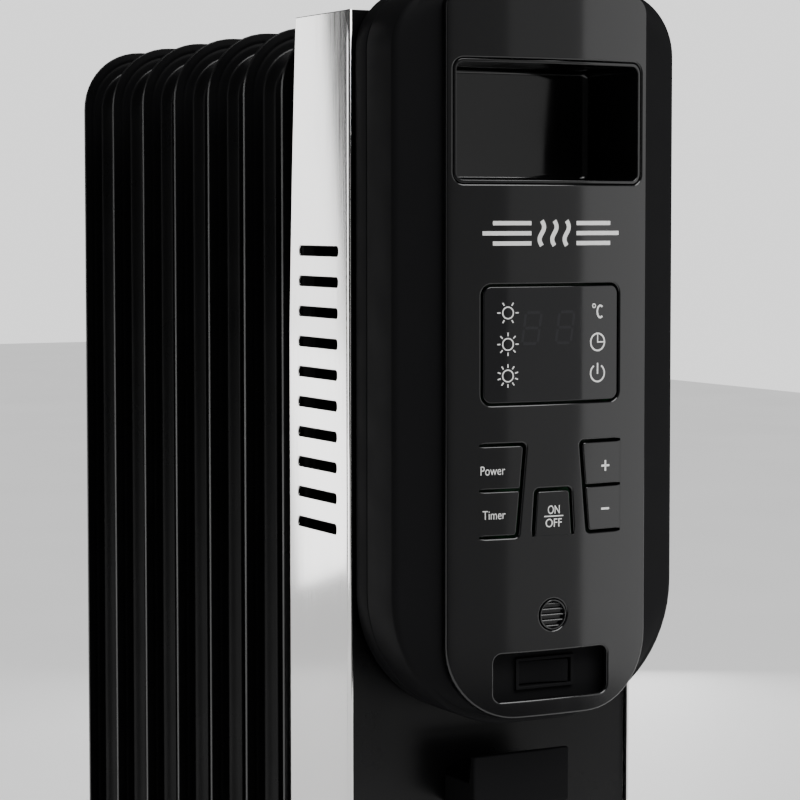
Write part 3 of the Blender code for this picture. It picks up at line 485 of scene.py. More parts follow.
def mouldedNylon():
    # black glass-filled nylon: dull, with flow marks from the gate
    made, tree, shader, place = blankMaterial("mouldedNylon", "#121213", 0.48, IOR=1.53)
    varied(tree, shader, place, 9 * mm, "Roughness", 0.42, 0.56)
    bumped(tree, shader, place, 0.7 * mm, 0.012 * mm)
    return made


def wheelTread():
    # black nylon tread: dull, scuffed to a mottled dark grey
    made, tree, shader, place = blankMaterial("wheelTread", "#151516", 0.5, IOR=1.53)
    varied(tree, shader, place, 4 * mm, "Base Color", "#111112", "#222223")
    bumped(tree, shader, place, 0.8 * mm, 0.02 * mm)
    return made


def mouldedRubber():
    # black EPDM: matt and slightly bloomed
    made, tree, shader, place = blankMaterial("mouldedRubber", "#141414", 0.75)
    varied(tree, shader, place, 5 * mm, "Base Color", "#101010", "#1b1b1b")
    bumped(tree, shader, place, 0.4 * mm, 0.01 * mm)
    return made


def circuitBoard():
    # glass-fibre board under green resist: the weave shows faintly
    made, tree, shader, place = blankMaterial("circuitBoard", "#17502c", 0.4)
    varied(tree, shader, place, 2 * mm, "Base Color", "#124224", "#1c5c34")
    bumped(tree, shader, place, 0.6 * mm, 0.01 * mm, voronoi=True)
    return made


def ivoryMoulding():
    # ivory PBT, plain moulded
    made, tree, shader, place = blankMaterial("ivoryMoulding", "#dcd8cc", 0.5)
    varied(tree, shader, place, 6 * mm, "Base Color", "#d5d0c3", "#e2dfd5")
    bumped(tree, shader, place, 0.7 * mm, 0.008 * mm)
    return made


def blackScrewSteel():
    # blackened steel screw head: dark metal, its sheen broken up in small patches
    made, tree, shader, place = blankMaterial("blackScrewSteel", "#2a2a2c", 0.36, 1.0)
    varied(tree, shader, place, 1.5 * mm, "Roughness", 0.28, 0.45)
    return made


print("materials")
polished = polishedAbs()
satin = sparkedAbs()
acrylic = smokedAcrylic()
digitLook = unlitDigit()
enamel = powderCoat()
stainless = polishedStainless()
ink = padPrint()
zinc = zincPlate()
nylon = mouldedNylon()
tread = wheelTread()
rubber = mouldedRubber()
board = circuitBoard()
ivory = ivoryMoulding()
screwSteel = blackScrewSteel()

# control panel
panelLow, panelHigh = cornersOf("control_panel")
panel = {
    "bow": 260 * mm,           # radius of the convex front
    "lowCorner": 35 * mm,
    "highCorner": 8 * mm,
    "rim": 0.9 * mm,           # rounding of the outer edge
    "openingRim": 1.0 * mm,    # rounding round each opening
    "wall": 2.5 * mm,
    "inkProud": 0.03 * mm,     # height of a print above the surface
    "inkSunk": 0.06 * mm,      # how far its underside goes in
}
window = {
    "low": 448.8 * mm,
    "high": 503.8 * mm,
    "half": 36.7 * mm,
    "corner": 5 * mm,
    "groove": 1.0 * mm,
    "lensCorner": 4 * mm,
    "lens": 3.2 * mm,
}
switch = {"low": 312.5 * mm, "high": 334.5 * mm, "half": 30.4 * mm, "corner": 4 * mm}
keys = {
    "root": 37.7 * mm,         # where a side key bends, from the middle
    "tipTop": 14.1 * mm,       # free ends of the side keys, from the middle
    "tipBottom": 18.1 * mm,
    "groove": 1.2 * mm,
    "tipGroove": 1.55 * mm,    # the upright grooves at the free ends
    "rim": 0.65 * mm,
    "rootGap": 0.05 * mm,
}
centreKey = {
    "top": 9.8 * mm,
    "bottom": 11.2 * mm,
    "high": 410.0 * mm,
    "groove": 1.4 * mm,
    "rootGap": 0.13 * mm,
}
pocketLow, pocketHigh = cornersOf("handle_pocket")
sensorSpot = middleOf("sensor_grille")
sensorRadius = 7.3 * mm
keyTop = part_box("key_power")[1].z + keys["groove"]
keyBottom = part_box("key_timer")[0].z - keys["groove"]
keyMiddle = (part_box("key_power")[0].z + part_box("key_timer")[1].z) / 2


def panelFront(x):
    # circle arc seen from above: y = crown + bow - sqrt(bow^2 - x^2)
    return panelLow[1] + panel["bow"] - np.sqrt(panel["bow"] ** 2 - x ** 2)


def onPanel(x, z, depth):
    return np.stack([x, panelFront(x) + depth, z], 1)


def openingLoop(half, low, high, corner):
    return spacedLoop(roundedLoop(0, half, low, high, corner, corner), 3 * mm)


def sideOpening(side):
    points = [(side * keys["root"], keyTop), (side * keys["root"], keyBottom),
              (side * keys["tipBottom"], keyBottom), (side * keys["tipTop"], keyTop)]
    return spacedLoop(corneredLoop(points, [0.2 * mm, 0.2 * mm, 2.2 * mm, 2.2 * mm]), 3 * mm)


def centreOutline(inset, foot, corner, spacing):
    # tapered outline of the centre key or of its opening
    high = centreKey["high"] - inset
    points = [(-centreKey["bottom"] + inset, foot), (centreKey["bottom"] - inset, foot),
              (centreKey["top"] - inset, high), (-centreKey["top"] + inset, high)]
    return spacedLoop(corneredLoop(points, [0.2 * mm, 0.2 * mm, corner, corner]), spacing)


def rootEase(onRoot):
    # 1 on the free edges and nearly 0 at the root, where the sheet only bends
    return np.where(onRoot, 0.06, 1.0)


def atSideRoot(loop):
    return np.abs(loop[:, 0]) > keys["root"] - 0.3 * mm


def atCentreRoot(loop):
    return loop[:, 1] < keyBottom + 0.3 * mm


def makePanel():
    # a sheet on the bow, its outer edge turned back to the cover, with seven openings
    outer = spacedLoop(roundedLoop(0, panelHigh[0], panelLow[2], panelHigh[2], panel["lowCorner"],
                                   panel["highCorner"], 14), 3 * mm)
    around = 0.3 * mm
    turn = np.linspace(0, 2 * np.pi, 48, endpoint=False)
    holes = [openingLoop(window["half"], window["low"], window["high"], window["corner"]),
             openingLoop(pocketHigh[0] + around, pocketLow[2] - around, pocketHigh[2] + around, 5 * mm),
             openingLoop(switch["half"], switch["low"], switch["high"], switch["corner"]),
             np.stack([sensorRadius * np.cos(turn), sensorSpot[2] + sensorRadius * np.sin(turn)], 1)]
    eases = [np.ones(len(loop)) for loop in [outer, *holes]]
    for side in (-1, 1):
        holes.append(sideOpening(side))
        eases.append(rootEase(atSideRoot(holes[-1])))
    holes.append(centreOutline(0, keyBottom, 2.4 * mm, 3 * mm))
    eases.append(rootEase(atCentreRoot(holes[-1])))
    lattice = latticeOf(np.arange(-52, 52.1, 3.2) * mm, np.arange(306, 636, 3.2) * mm)
    piece = sheetPiece("panel_shell", onPanel, outer, holes, lattice, panel["rim"], panel["wall"], 1.2 * mm,
                       panel["openingRim"], lambda loop: panelHigh[1] - panelFront(loop[:, 0]), eases,
                       panel["wall"])
    settle(piece, polished, "heater", "panel_gloss", "control_panel")


def makeKeys():
    # caps cut from the same bowed sheet as the panel: four side keys and the centre key
    lattice = latticeOf(np.arange(-40, 40.1, 2.5) * mm, np.arange(385, 435, 2.5) * mm)

    def tip(z):
        # straight line from the top end to the bottom end, set back by its groove
        share = (keyTop - z) / (keyTop - keyBottom)
        return keys["tipTop"] + (keys["tipBottom"] - keys["tipTop"]) * share + keys["tipGroove"]

    def cap(node, body, loop, atRoot):
        piece = sheetPiece(node + "_cap", onPanel, loop, [], lattice, keys["rim"], panel["wall"], 1 * mm,
                           eases=[rootEase(atRoot(loop))])
        settle(piece, polished, body, "panel_gloss", node)

    upper = (keyMiddle + keys["groove"] / 2, keyTop - keys["groove"], [0.9 * mm, 1.5 * mm])
    lower = (keyBottom + keys["groove"], keyMiddle - keys["groove"] / 2, [1.5 * mm, 0.9 * mm])
    sideKeys = (("power", -1, upper), ("timer", -1, lower), ("plus", 1, upper), ("minus", 1, lower))
    for name, side, (low, high, tipCorners) in sideKeys:
        root = side * (keys["root"] - keys["rootGap"])
        outline = [(root, high), (root, low), (side * tip(low), low), (side * tip(high), high)]
        loop = spacedLoop(corneredLoop(outline, [0.2 * mm, 0.2 * mm, *tipCorners]), 2.5 * mm)
        cap(f"key_{name}", f"{name}_key", loop, atSideRoot)
    loop = centreOutline(centreKey["groove"], keyBottom + centreKey["rootGap"], 1.6 * mm, 2.5 * mm)
    cap("key_on_off", "on_off_key", loop, atCentreRoot)


def makeWindow():
    # a sheet on the same bow, a little behind the panel's front
    groove = window["groove"]
    loop = openingLoop(window["half"] - groove, window["low"] + groove, window["high"] - groove,
                       window["lensCorner"])
    lattice = latticeOf(np.arange(-34, 34.1, 3) * mm, np.arange(450, 503, 3) * mm)

    def behind(x, z, depth):
        return onPanel(x, z, depth + 0.1 * mm)

    piece = sheetPiece("window_lens", behind, loop, [], lattice, 0.6 * mm, window["lens"], 1.2 * mm)
    settle(piece, acrylic, "heater", "smoked_lens", "display_lens")


def trayRows(wall, front, back, edge, corner, inner):
    # inset and depth of each ring of a five-sided tray, from its outer floor round the lip to its inner floor
    turn = np.linspace(0, np.pi / 2, 5)
    rows = [(corner * (1 - math.sin(t)), back - corner * (1 - math.cos(t))) for t in turn]
    rows += [(edge * (1 - math.cos(t)), front + edge * (1 - math.sin(t))) for t in turn]
    rows += [(wall - edge * (1 - math.sin(t)), front + edge * (1 - math.cos(t))) for t in turn]
    rows += [(wall + inner * (1 - math.cos(t)), back - wall - inner * (1 - math.sin(t))) for t in turn]
    return rows


def makePocket():
    # rings of a five-sided tray: the lip follows the panel's bow and the floor is flat
    wall = 1.6 * mm
    points = []
    for inset, depth in trayRows(wall, 0.0, 1.0, 0.45 * mm, 2 * mm, 3 * mm):
        corner = 5 * mm - min(inset, wall)
        loop = spacedLoop(roundedLoop(0, pocketHigh[0] - inset, pocketLow[2] + inset, pocketHigh[2] - inset,
                                      corner, corner, 8), 60 * mm)
        if depth > 0.5:     # rows near 1 belong to the floor, rows near 0 to the lip
            y = np.full(len(loop), pocketHigh[1] + depth - 1.0)
        else:
            y = panelFront(loop[:, 0]) + 0.6 * mm + depth
        points.append(np.stack([loop[:, 0], y, loop[:, 1]], 1))
    settle(ringPiece("pocket_liner", np.array(points), sharp=50), polished, "heater", "panel_gloss",
           "handle_pocket")


grille = {
    "radius": 7.0 * mm,
    "slats": 5,
    "pitch": 2.6 * mm,
    "deep": 0.9 * mm,          # half depth of a slat
    "thick": 0.55 * mm,        # half height of a slat
    "lean": 0.35,
}


def makeGrille():
    # a turned ring, and slats of elliptical section leaned by a shear, each cut to its chord of the circle
    y = float(panelFront(np.array([0.0]))[0])
    radius = grille["radius"]
    rim = [(-0.2, 3.4), (0, 3.2), (0, 0.5), (-0.12, 0.22), (-0.4, 0.1), (-0.7, 0.2), (-0.9, 0.5), (-0.9, 2.2)]
    rim = [(radius + step * mm, y + depth * mm) for step, depth in rim]
    ring = lathePiece("grille_ring", rim, (0, 0, sensorSpot[2]), "Y", 64)
    settle(ring, polished, "heater", "black_moulding", "sensor_grille")
    turn = np.linspace(0, 2 * np.pi, 16, endpoint=False)
    deep = grille["deep"] * np.cos(turn)
    high = grille["thick"] * np.sin(turn) + grille["lean"] * deep
    for k in range(grille["slats"]):
        rise = (k - (grille["slats"] - 1) / 2) * grille["pitch"]
        reach = math.sqrt((radius - 0.6 * mm) ** 2 - rise ** 2)
        xs, depths = np.meshgrid(np.linspace(-reach, reach, 9), y + 1.7 * mm + deep, indexing="ij")
        points = np.stack([xs, depths, np.broadcast_to(sensorSpot[2] + rise + high, xs.shape)], -1)
        settle(ringPiece(f"grille_slat_{k + 1}", points), polished, "heater", "black_moulding")


def makeRocker():
    # the frame's own solids with their edges broken
    frameOf = softened("rocker_body", 0.4 * mm, "rocker_frame", 3)
    settle(frameOf, satin, "heater", "black_moulding", "rocker_body")
    paddle = softened("rocker_key", 0.5 * mm, "rocker_paddle", 3, 20)
    settle(paddle, satin, "rocker", "black_moulding", "rocker_key")


print("panel")
makePanel()
makeKeys()
makeWindow()
makePocket()
makeGrille()
makeRocker()

# prints on the panel
def bandPiece(name, path, width, closed=False, proud=panel["inkProud"], sunk=panel["inkSunk"]):
    # a flat stroke: the path of (x, z) plus and minus half the width across it, laid on the panel's front
    path = np.array(path, float)
    if closed:
        along = unit(np.roll(path, -1, 0) - np.roll(path, 1, 0))
    else:
        along = unit(np.gradient(path, axis=0))
    across = np.stack([-along[:, 1], along[:, 0]], 1) * width / 2
    sides = [path + across, path - across, path - across, path + across]
    depths = [-proud, -proud, sunk, sunk]
    rings = np.stack([onPanel(flat[:, 0], flat[:, 1], depth) for flat, depth in zip(sides, depths)], 1)
    return ringPiece(name, rings, closed, 20)


def circlePath(x, z, radius, start=0, end=360, steps=48):
    a = np.radians(np.linspace(start, end, steps, endpoint=end - start < 360))
    return np.stack([x + radius * np.cos(a), z + radius * np.sin(a)], 1)


def linePath(x0, z0, x1, z1, steps=6):
    share = np.linspace(0, 1, steps)
    return np.stack([x0 + (x1 - x0) * share, z0 + (z1 - z0) * share], 1)


def printStroke(name, path, width, closed=False, body="heater"):
    settle(bandPiece(name, path, width, closed), ink, body, "panel_gloss")


def textPiece(name, words, x, z, width, height, body, thick=0.0):
    # letters set flat, sized to a box centred on (x, z), then laid on the panel's curve
    curve = bpy.data.curves.new(name, "FONT")
    curve.body = words
    curve.align_x = "CENTER"
    curve.extrude = 0.01
    curve.offset = thick
    curve.resolution_u = 6
    source = addObject(name + "_flat", curve)
    mesh = evaluatedMesh(source)
    bpy.data.objects.remove(source)
    co = np.zeros(len(mesh.vertices) * 3, np.float32)
    mesh.vertices.foreach_get("co", co)
    co = co.reshape(-1, 3).astype(float)
    low, high = co.min(0), co.max(0)
    flat = (co - (low + high) / 2) / (high - low) * [width, height, 1]
    depth = np.where(flat[:, 2] > 0, -panel["inkProud"], panel["inkSunk"])
    placed = onPanel(flat[:, 0] + x, flat[:, 1] + z, depth)
    mesh.vertices.foreach_set("co", placed.astype(np.float32).ravel())
    mesh.update()
    settle(addObject(name, mesh), ink, body, "panel_gloss")


icons = {
    "left": -23.7 * mm,
    "right": 24.1 * mm,
    "rows": [490.9 * mm, 476.6 * mm, 462.2 * mm],
    "sunRing": 2.65 * mm,
    "rayFrom": 3.75 * mm,
    "rayTo": 5.3 * mm,
    "ring": 3.95 * mm,         # clock and standby signs
    "fine": 0.55 * mm,
    "bold": 0.75 * mm,
}


def makeSun(name, x, z, rays, first):
    # a ring and even rays from it
    printStroke(name + "_ring", circlePath(x, z, icons["sunRing"]), icons["fine"], True)
    for k in range(rays):
        a = math.radians(first + 360 * k / rays)
        ends = [value for reach in (icons["rayFrom"], icons["rayTo"])
                for value in (x + reach * math.cos(a), z + reach * math.sin(a))]
        printStroke(f"{name}_ray_{k + 1}", linePath(*ends, 2), icons["fine"])


def makeWindowIcons():
    right, ring, bold = icons["right"], icons["ring"], icons["bold"]
    for k, (rays, first) in enumerate(((6, 0), (8, 0), (10, 90))):
        makeSun(f"icon_heat_{k + 1}", icons["left"], icons["rows"][k], rays, first)
    z = icons["rows"][0]
    printStroke("icon_degree", circlePath(22.0 * mm, z + 2.5 * mm, 0.85 * mm, steps=20), 0.5 * mm, True)
    celsius = circlePath(0, 0, 1.0, 50, 310, 30) * [1.75 * mm, 2.75 * mm] + [25.6 * mm, z - 0.2 * mm]
    printStroke("icon_celsius", celsius, 0.9 * mm)
    z = icons["rows"][1]
    printStroke("icon_clock_ring", circlePath(right, z, ring), bold, True)
    printStroke("icon_clock_hand_up", linePath(right, z - 0.3 * mm, right, z + 3.9 * mm), 0.6 * mm)
    printStroke("icon_clock_hand_side", linePath(right, z, right + 3.9 * mm, z), 0.6 * mm)
    z = icons["rows"][2]
    printStroke("icon_standby_arc", circlePath(right, z, ring, 122, 418, 40), bold)
    printStroke("icon_standby_bar", linePath(right, z - 0.4 * mm, right, z + 4.7 * mm), bold)


digit = {
    "height": 14.2 * mm,
    "width": 8.0 * mm,
    "lean": 0.14,
    "bar": 1.3 * mm,
    "gap": 0.7 * mm,           # how far a bar stops short of the corner
    "z": 483.8 * mm,
    "xs": (-11.6 * mm, 6.0 * mm),
}
digitBars = {                  # ends of each bar, in half widths and half heights
    "top": (-1, 1, 1, 1),
    "middle": (-1, 0, 1, 0),
    "foot": (-1, -1, 1, -1),
    "upper_left": (-1, 0, -1, 1),
    "upper_right": (1, 0, 1, 1),
    "lower_left": (-1, -1, -1, 0),
    "lower_right": (1, -1, 1, 0),
}


def makeDigits():
    # two seven-bar digits, unlit: x = bar's x + lean times its height above the middle
    size = np.array([digit["width"], digit["height"]]) / 2
    for k, x in enumerate(digit["xs"]):
        for name, ends in digitBars.items():
            ends = np.reshape(ends, (2, 2)) * size
            run = unit(ends[1] - ends[0]) * digit["gap"]
            ends = ends + [run, -run]
            share = np.linspace(0, 1, 5)[:, None]
            path = ends[0] * (1 - share) + ends[1] * share
            path = np.stack([path[:, 0] + digit["lean"] * path[:, 1] + x, path[:, 1] + digit["z"]], 1)
            piece = bandPiece(f"digit_{k + 1}_{name}", path, digit["bar"], proud=-0.085 * mm, sunk=0.2 * mm)
            settle(piece, digitLook, "heater", "black_moulding")


def makeKeyPrints():
    # key names from the built-in face, and the plain signs
    thinner = -0.006     # takes a little off the strokes of the longer names
    textPiece("print_power", "Power", -31.0 * mm, 419.2 * mm, 12.0 * mm, 4.1 * mm, "power_key", thinner)
    textPiece("print_timer", "Timer", -30.4 * mm, 398.9 * mm, 11.2 * mm, 4.0 * mm, "timer_key", thinner)
    textPiece("print_on", "ON", 0.1 * mm, 400.0 * mm, 6.3 * mm, 3.9 * mm, "on_off_key")
    textPiece("print_off", "OFF", 0.1 * mm, 393.9 * mm, 8.6 * mm, 3.9 * mm, "on_off_key")
    x, plusZ, minusZ, reach = 28.9 * mm, 418.9 * mm, 398.8 * mm, 2.3 * mm
    strokes = (("on_off_bar", linePath(-5.0 * mm, 397.0 * mm, 5.2 * mm, 397.0 * mm), 0.5 * mm, "on_off_key"),
               ("plus_flat", linePath(x - reach, plusZ, x + reach, plusZ), 0.95 * mm, "plus_key"),
               ("plus_upright", linePath(x, plusZ - 2.5 * mm, x, plusZ + 2.5 * mm), 0.9 * mm, "plus_key"),
               ("minus", linePath(x - reach, minusZ, x + reach, minusZ), 0.95 * mm, "minus_key"))
    for name, path, width, body in strokes:
        printStroke(f"print_{name}", path, width, False, body)


emblem = {
    "z": 527.0 * mm,
    "wave": 11.4 * mm,         # height of a wave
    "swing": 1.15 * mm,
    "wavePitch": 6.6 * mm,
    "waveWidth": 2.1 * mm,
    "barFrom": 12.0 * mm,
    "barTo": 36.2 * mm,        # end of the middle bar
    "shorter": 5.0 * mm,
    "barPitch": 4.6 * mm,
    "barWidth": 1.9 * mm,
}


def makeEmblem():
    # plain warm-air emblem: three upright sine waves between bars, of which the outer ones are shorter
    share = np.linspace(-0.5, 0.5, 25)
    for k in range(3):
        x = (k - 1) * emblem["wavePitch"] + emblem["swing"] * np.sin(2 * np.pi * share)
        path = np.stack([x, emblem["z"] + emblem["wave"] * share], 1)
        printStroke(f"emblem_wave_{k + 1}", path, emblem["waveWidth"])
    for name, side in (("left", -1), ("right", 1)):
        for k in range(3):
            z = emblem["z"] + (k - 1) * emblem["barPitch"]
            reach = side * (emblem["barTo"] - emblem["shorter"] * abs(k - 1))
            path = linePath(side * emblem["barFrom"], z, reach, z, 12)
            printStroke(f"emblem_bar_{name}_{k + 1}", path, emblem["barWidth"])


print("prints")
makeWindowIcons()
makeDigits()
makeKeyPrints()
makeEmblem()

# housing

housingLow, housingHigh = cornersOf("rear_housing")
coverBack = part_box("front_cover")[1].y
housing = {
    "lowCorner": 62 * mm,
    "highCorner": 30 * mm,
    "wall": 2.3 * mm,
    "edge": 3.0 * mm,         # roll of the cover's outer front edge
    "rise": 7.0 * mm,         # how far the front slopes up to the panel
    "seam": 0.5 * mm,
}
coverEdge = coverBack - 25.5 * mm


def insetLoop(low, high, look, inset):
    # the outline of a box's front face with its own corner radii, drawn in by the inset
    return roundedLoop(0, high[0] - inset, low[2] + inset, high[2] - inset, look["lowCorner"] - inset,
                       look["highCorner"] - inset, 16)


def housingLoop(inset):
    return insetLoop(housingLow, housingHigh, housing, inset)


def mouthLoop(inset):
    return insetLoop(panelLow, panelHigh, panel, inset)


def atDepth(loop, y):
    return np.stack([loop[:, 0], np.full(len(loop), y), loop[:, 1]], 1)


def makeCover():
    # rings from the panel's foot up a straight slope, round the rolled edge, down the wall and back inside
    wall, roll, rise, seam = housing["wall"], housing["edge"], housing["rise"], housing["seam"]
    foot = coverEdge - rise
    mouth = 3 * mm
    lip = -1.8 * mm          # the slope ends this far in front of the cover's edge plane
    turnStart = 0.32         # radians already turned where the slope meets the roll
    rings = [atDepth(mouthLoop(mouth), foot + wall), atDepth(mouthLoop(mouth), foot + 0.3 * mm),
             atDepth(mouthLoop(2.7 * mm), foot), atDepth(mouthLoop(0), foot)]
    inner, outer = mouthLoop(0), housingLoop(roll)
    for share in np.linspace(0, 1, 9)[1:]:
        rings.append(atDepth(inner * (1 - share) + outer * share, foot + (rise + lip) * share))
    for t in np.linspace(turnStart, np.pi / 2, 9)[1:]:
        inset = roll * (1 - math.sin(t)) / (1 - math.sin(turnStart))
        sunk = 3.4 * mm * (math.cos(turnStart) - math.cos(t))
        rings.append(atDepth(housingLoop(inset), coverEdge + lip + sunk))
    rings += [atDepth(housingLoop(0), coverBack - seam),
              atDepth(housingLoop(0.15 * seam), coverBack - 0.4 * seam),
              atDepth(housingLoop(seam), coverBack),
              atDepth(housingLoop(wall), coverBack),
              atDepth(housingLoop(wall), coverEdge + 3.5 * mm),
              atDepth(housingLoop(roll + wall), coverEdge + 1.5 * mm),
              atDepth(mouthLoop(-1 * mm), foot + wall)]
    piece = ringPiece("cover_shell", np.array(rings), True, 28)
    settle(piece, satin, "heater", "housing_plastic", "front_cover")


def makeRearHousing():
    # rings of a tray that opens to the front
    rows = trayRows(housing["wall"], housingLow[1], housingHigh[1], 0.5 * mm, 2.2 * mm, 0.6 * mm)
    rings = np.array([atDepth(housingLoop(inset), y) for inset, y in rows])
    piece = ringPiece("rear_housing_shell", rings, False, 28)
    settle(piece, satin, "heater", "housing_plastic", "rear_housing")


print("housing")
makeCover()
makeRearHousing()

# end case and side strips

caseLow = cornersOf("end_case")[0]
strip = {
    "bowRadius": 3.97,
    "bowCentre": 340 * mm,
    "outside": 76.8 * mm,
    "sheet": 1.2 * mm,
    "crown": 0.25 * mm,        # how far the strip bellies out across its width
    "lip": 3.7 * mm,           # folded lip along the front edge
    "lipGap": 0.45 * mm,       # the crease behind it
    "slots": 10,
    "slotPitch": 14.55 * mm,
    "slotTop": 518.3 * mm,
    "slotHeight": 4.6 * mm,
    "slotFollow": 0.6,         # share of the bow that the slots follow
}
stripLow, stripHigh = cornersOf("side_strip_left")
slotFront = stripLow[1] + 15.5 * mm
slotRear = stripLow[1] + 58.0 * mm


def bowAt(z):
    # circle arc: how far the rear edge has come forward at a height
    return strip["bowRadius"] - np.sqrt(strip["bowRadius"] ** 2 - (z - strip["bowCentre"]) ** 2)


def makeStrips():
    # a slotted sheet, bellied out with the square of the distance from its middle, behind a folded lip
    low, high = stripLow[2], stripHigh[2]
    frontY = stripLow[1]
    rearY = frontY + 69.9 * mm
    zs = np.linspace(low, high, 60)
    front = np.stack([np.full(60, frontY + strip["lip"] + strip["lipGap"]), zs[::-1]], 1)
    rear = np.stack([rearY - bowAt(zs), zs], 1)
    outline = np.concatenate([front, rear])
    y, z = outline.T
    if np.sum(y * np.roll(z, -1) - np.roll(y, -1) * z) < 0:
        outline = outline[::-1]
    slots = []
    for k in range(strip["slots"]):
        z = strip["slotTop"] - k * strip["slotPitch"]
        centre = (slotFront + slotRear) / 2 - strip["slotFollow"] * float(bowAt(z))
        slots.append(spacedLoop(roundedLoop(centre, (slotRear - slotFront) / 2, z - strip["slotHeight"] / 2,
                                            z + strip["slotHeight"] / 2, 1.7 * mm, 1.7 * mm, 6), 4 * mm))
    lattice = latticeOf(np.arange(9, 68, 4) * mm + frontY, np.arange(low + 3 * mm, high, 5 * mm))
    lip, sheet = strip["lip"], strip["sheet"]
    lipProfile = corneredLoop([(0, 0), (lip, 0), (lip, -sheet), (0, -sheet)],
                              [0.55 * mm, 0.35 * mm, 0.2 * mm, 0.2 * mm], 8)
    lipZ = np.array([low, low + 0.2 * mm, high - 0.2 * mm, high])
    shrink = np.array([0.9, 1, 1, 0.9])
    for name, side in (("left", -1), ("right", 1)):
        def place(y, z, depth, side=side):
            across = (y - (frontY + rearY) / 2) / 35 / mm
            return np.stack([side * (strip["outside"] - strip["crown"] * across ** 2 - depth), y, z], 1)
        piece = sheetPiece(f"strip_{name}", place, outline, slots, lattice, 0.5 * mm, sheet, 1.2 * mm,
                           0.5 * mm)
        settle(piece, stainless, "heater", "polished_strip", f"side_strip_{name}")
        middle = np.array([lip / 2, -sheet / 2])
        profile = (lipProfile - middle) * shrink[:, None, None] + middle
        rings = np.stack([side * (strip["outside"] + profile[:, :, 1]), frontY + profile[:, :, 0],
                          np.broadcast_to(lipZ[:, None], profile.shape[:2])], -1)
        settle(ringPiece(f"strip_lip_{name}", rings, False, 50), stainless, "heater", "polished_strip")


def screwPiece(name, spot, radius=3.2 * mm):
    # a pan head turned about Y, facing -Y, with a sunk centre in place of the driver recess
    profile = [(1, 0), (1, 0.3), (0.93, 0.95), (0.75, 1.45), (0.5, 1.75), (0.34, 1.8), (0.26, 1.5),
               (0.2, 0.9)]
    profile = [(share * radius, -height * mm) for share, height in profile]
    settle(lathePiece(name, profile, spot, "Y", 32), screwSteel, "heater", "case_enamel")


def makeEndCase():
    # folded case, cleats and gland with their edges broken, and four turned screw heads
    settle(softened("end_case", 0.9 * mm, "case_shell", 3), enamel, "heater", "case_enamel", "end_case")
    for k, (x, z) in enumerate(((-62, 240), (62, 240), (-62, 96), (62, 96))):
        screwPiece(f"case_screw_{k + 1}", (x * mm, caseLow[1] + 0.2 * mm, z * mm))
    for node in ("cord_cleat_upper", "cord_cleat_lower"):
        settle(softened(node, 1.0 * mm, node + "_hook", 3), satin, "heater", "housing_plastic", node)
    gland = softened("cord_gland", 0.4 * mm, "gland_bush", 2, 25)
    settle(gland, rubber, "heater", "seal_rubber", "cord_gland")


print("case and strips")
makeStrips()
makeEndCase()

# fins and headers

fin = {
    "corner": 34 * mm,
    "edge": 1.2 * mm,          # half the thickness of the seamed flange
    "edgeRound": 0.35 * mm,
    "flange": 9.5 * mm,
    "shoulder": 5.0 * mm,
    "bulge": 8.0 * mm,         # half the thickness over the oil columns
    "webX": 29 * mm,
    "webHalf": 7.5 * mm,
    "webLow": 170 * mm,
    "webHigh": 530 * mm,
    "seamTrack": 5.0 * mm,     # roller-seam weld, in from the edge
}
finLow, finHigh = cornersOf("fin_1")


def smooth(t):
    t = np.clip(t, 0, 1)
    return t * t * (3 - 2 * t)


def roundBoxDistance(x, z, halfWidth, low, high, corner):
    # signed distance to an upright rounded rectangle, negative inside
    qx = np.abs(x) - halfWidth + corner
    qz = np.abs(z - (low + high) / 2) - (high - low) / 2 + corner
    return np.hypot(np.maximum(qx, 0), np.maximum(qz, 0)) + np.minimum(np.maximum(qx, qz), 0) - corner


def finHalf(x, z):
    # half thickness: flange, smooth shoulder, full columns, two sunk webs and a weld track
    inset = -roundBoxDistance(x, z, finHigh[0], finLow[2], finHigh[2], fin["corner"])
    height = fin["edge"] + (fin["bulge"] - fin["edge"]) * smooth((inset - fin["flange"]) / fin["shoulder"])
    for side in (-1, 1):
        web = roundBoxDistance(x - side * fin["webX"], z, fin["webHalf"], fin["webLow"], fin["webHigh"],
                               fin["webHalf"] - 0.2 * mm)
        height = height - (fin["bulge"] - 2.2 * mm) * smooth(-web / (4.2 * mm))
    track = 0.14 * mm * np.exp(-((inset - fin["seamTrack"]) / (0.8 * mm)) ** 2)
    return height - track


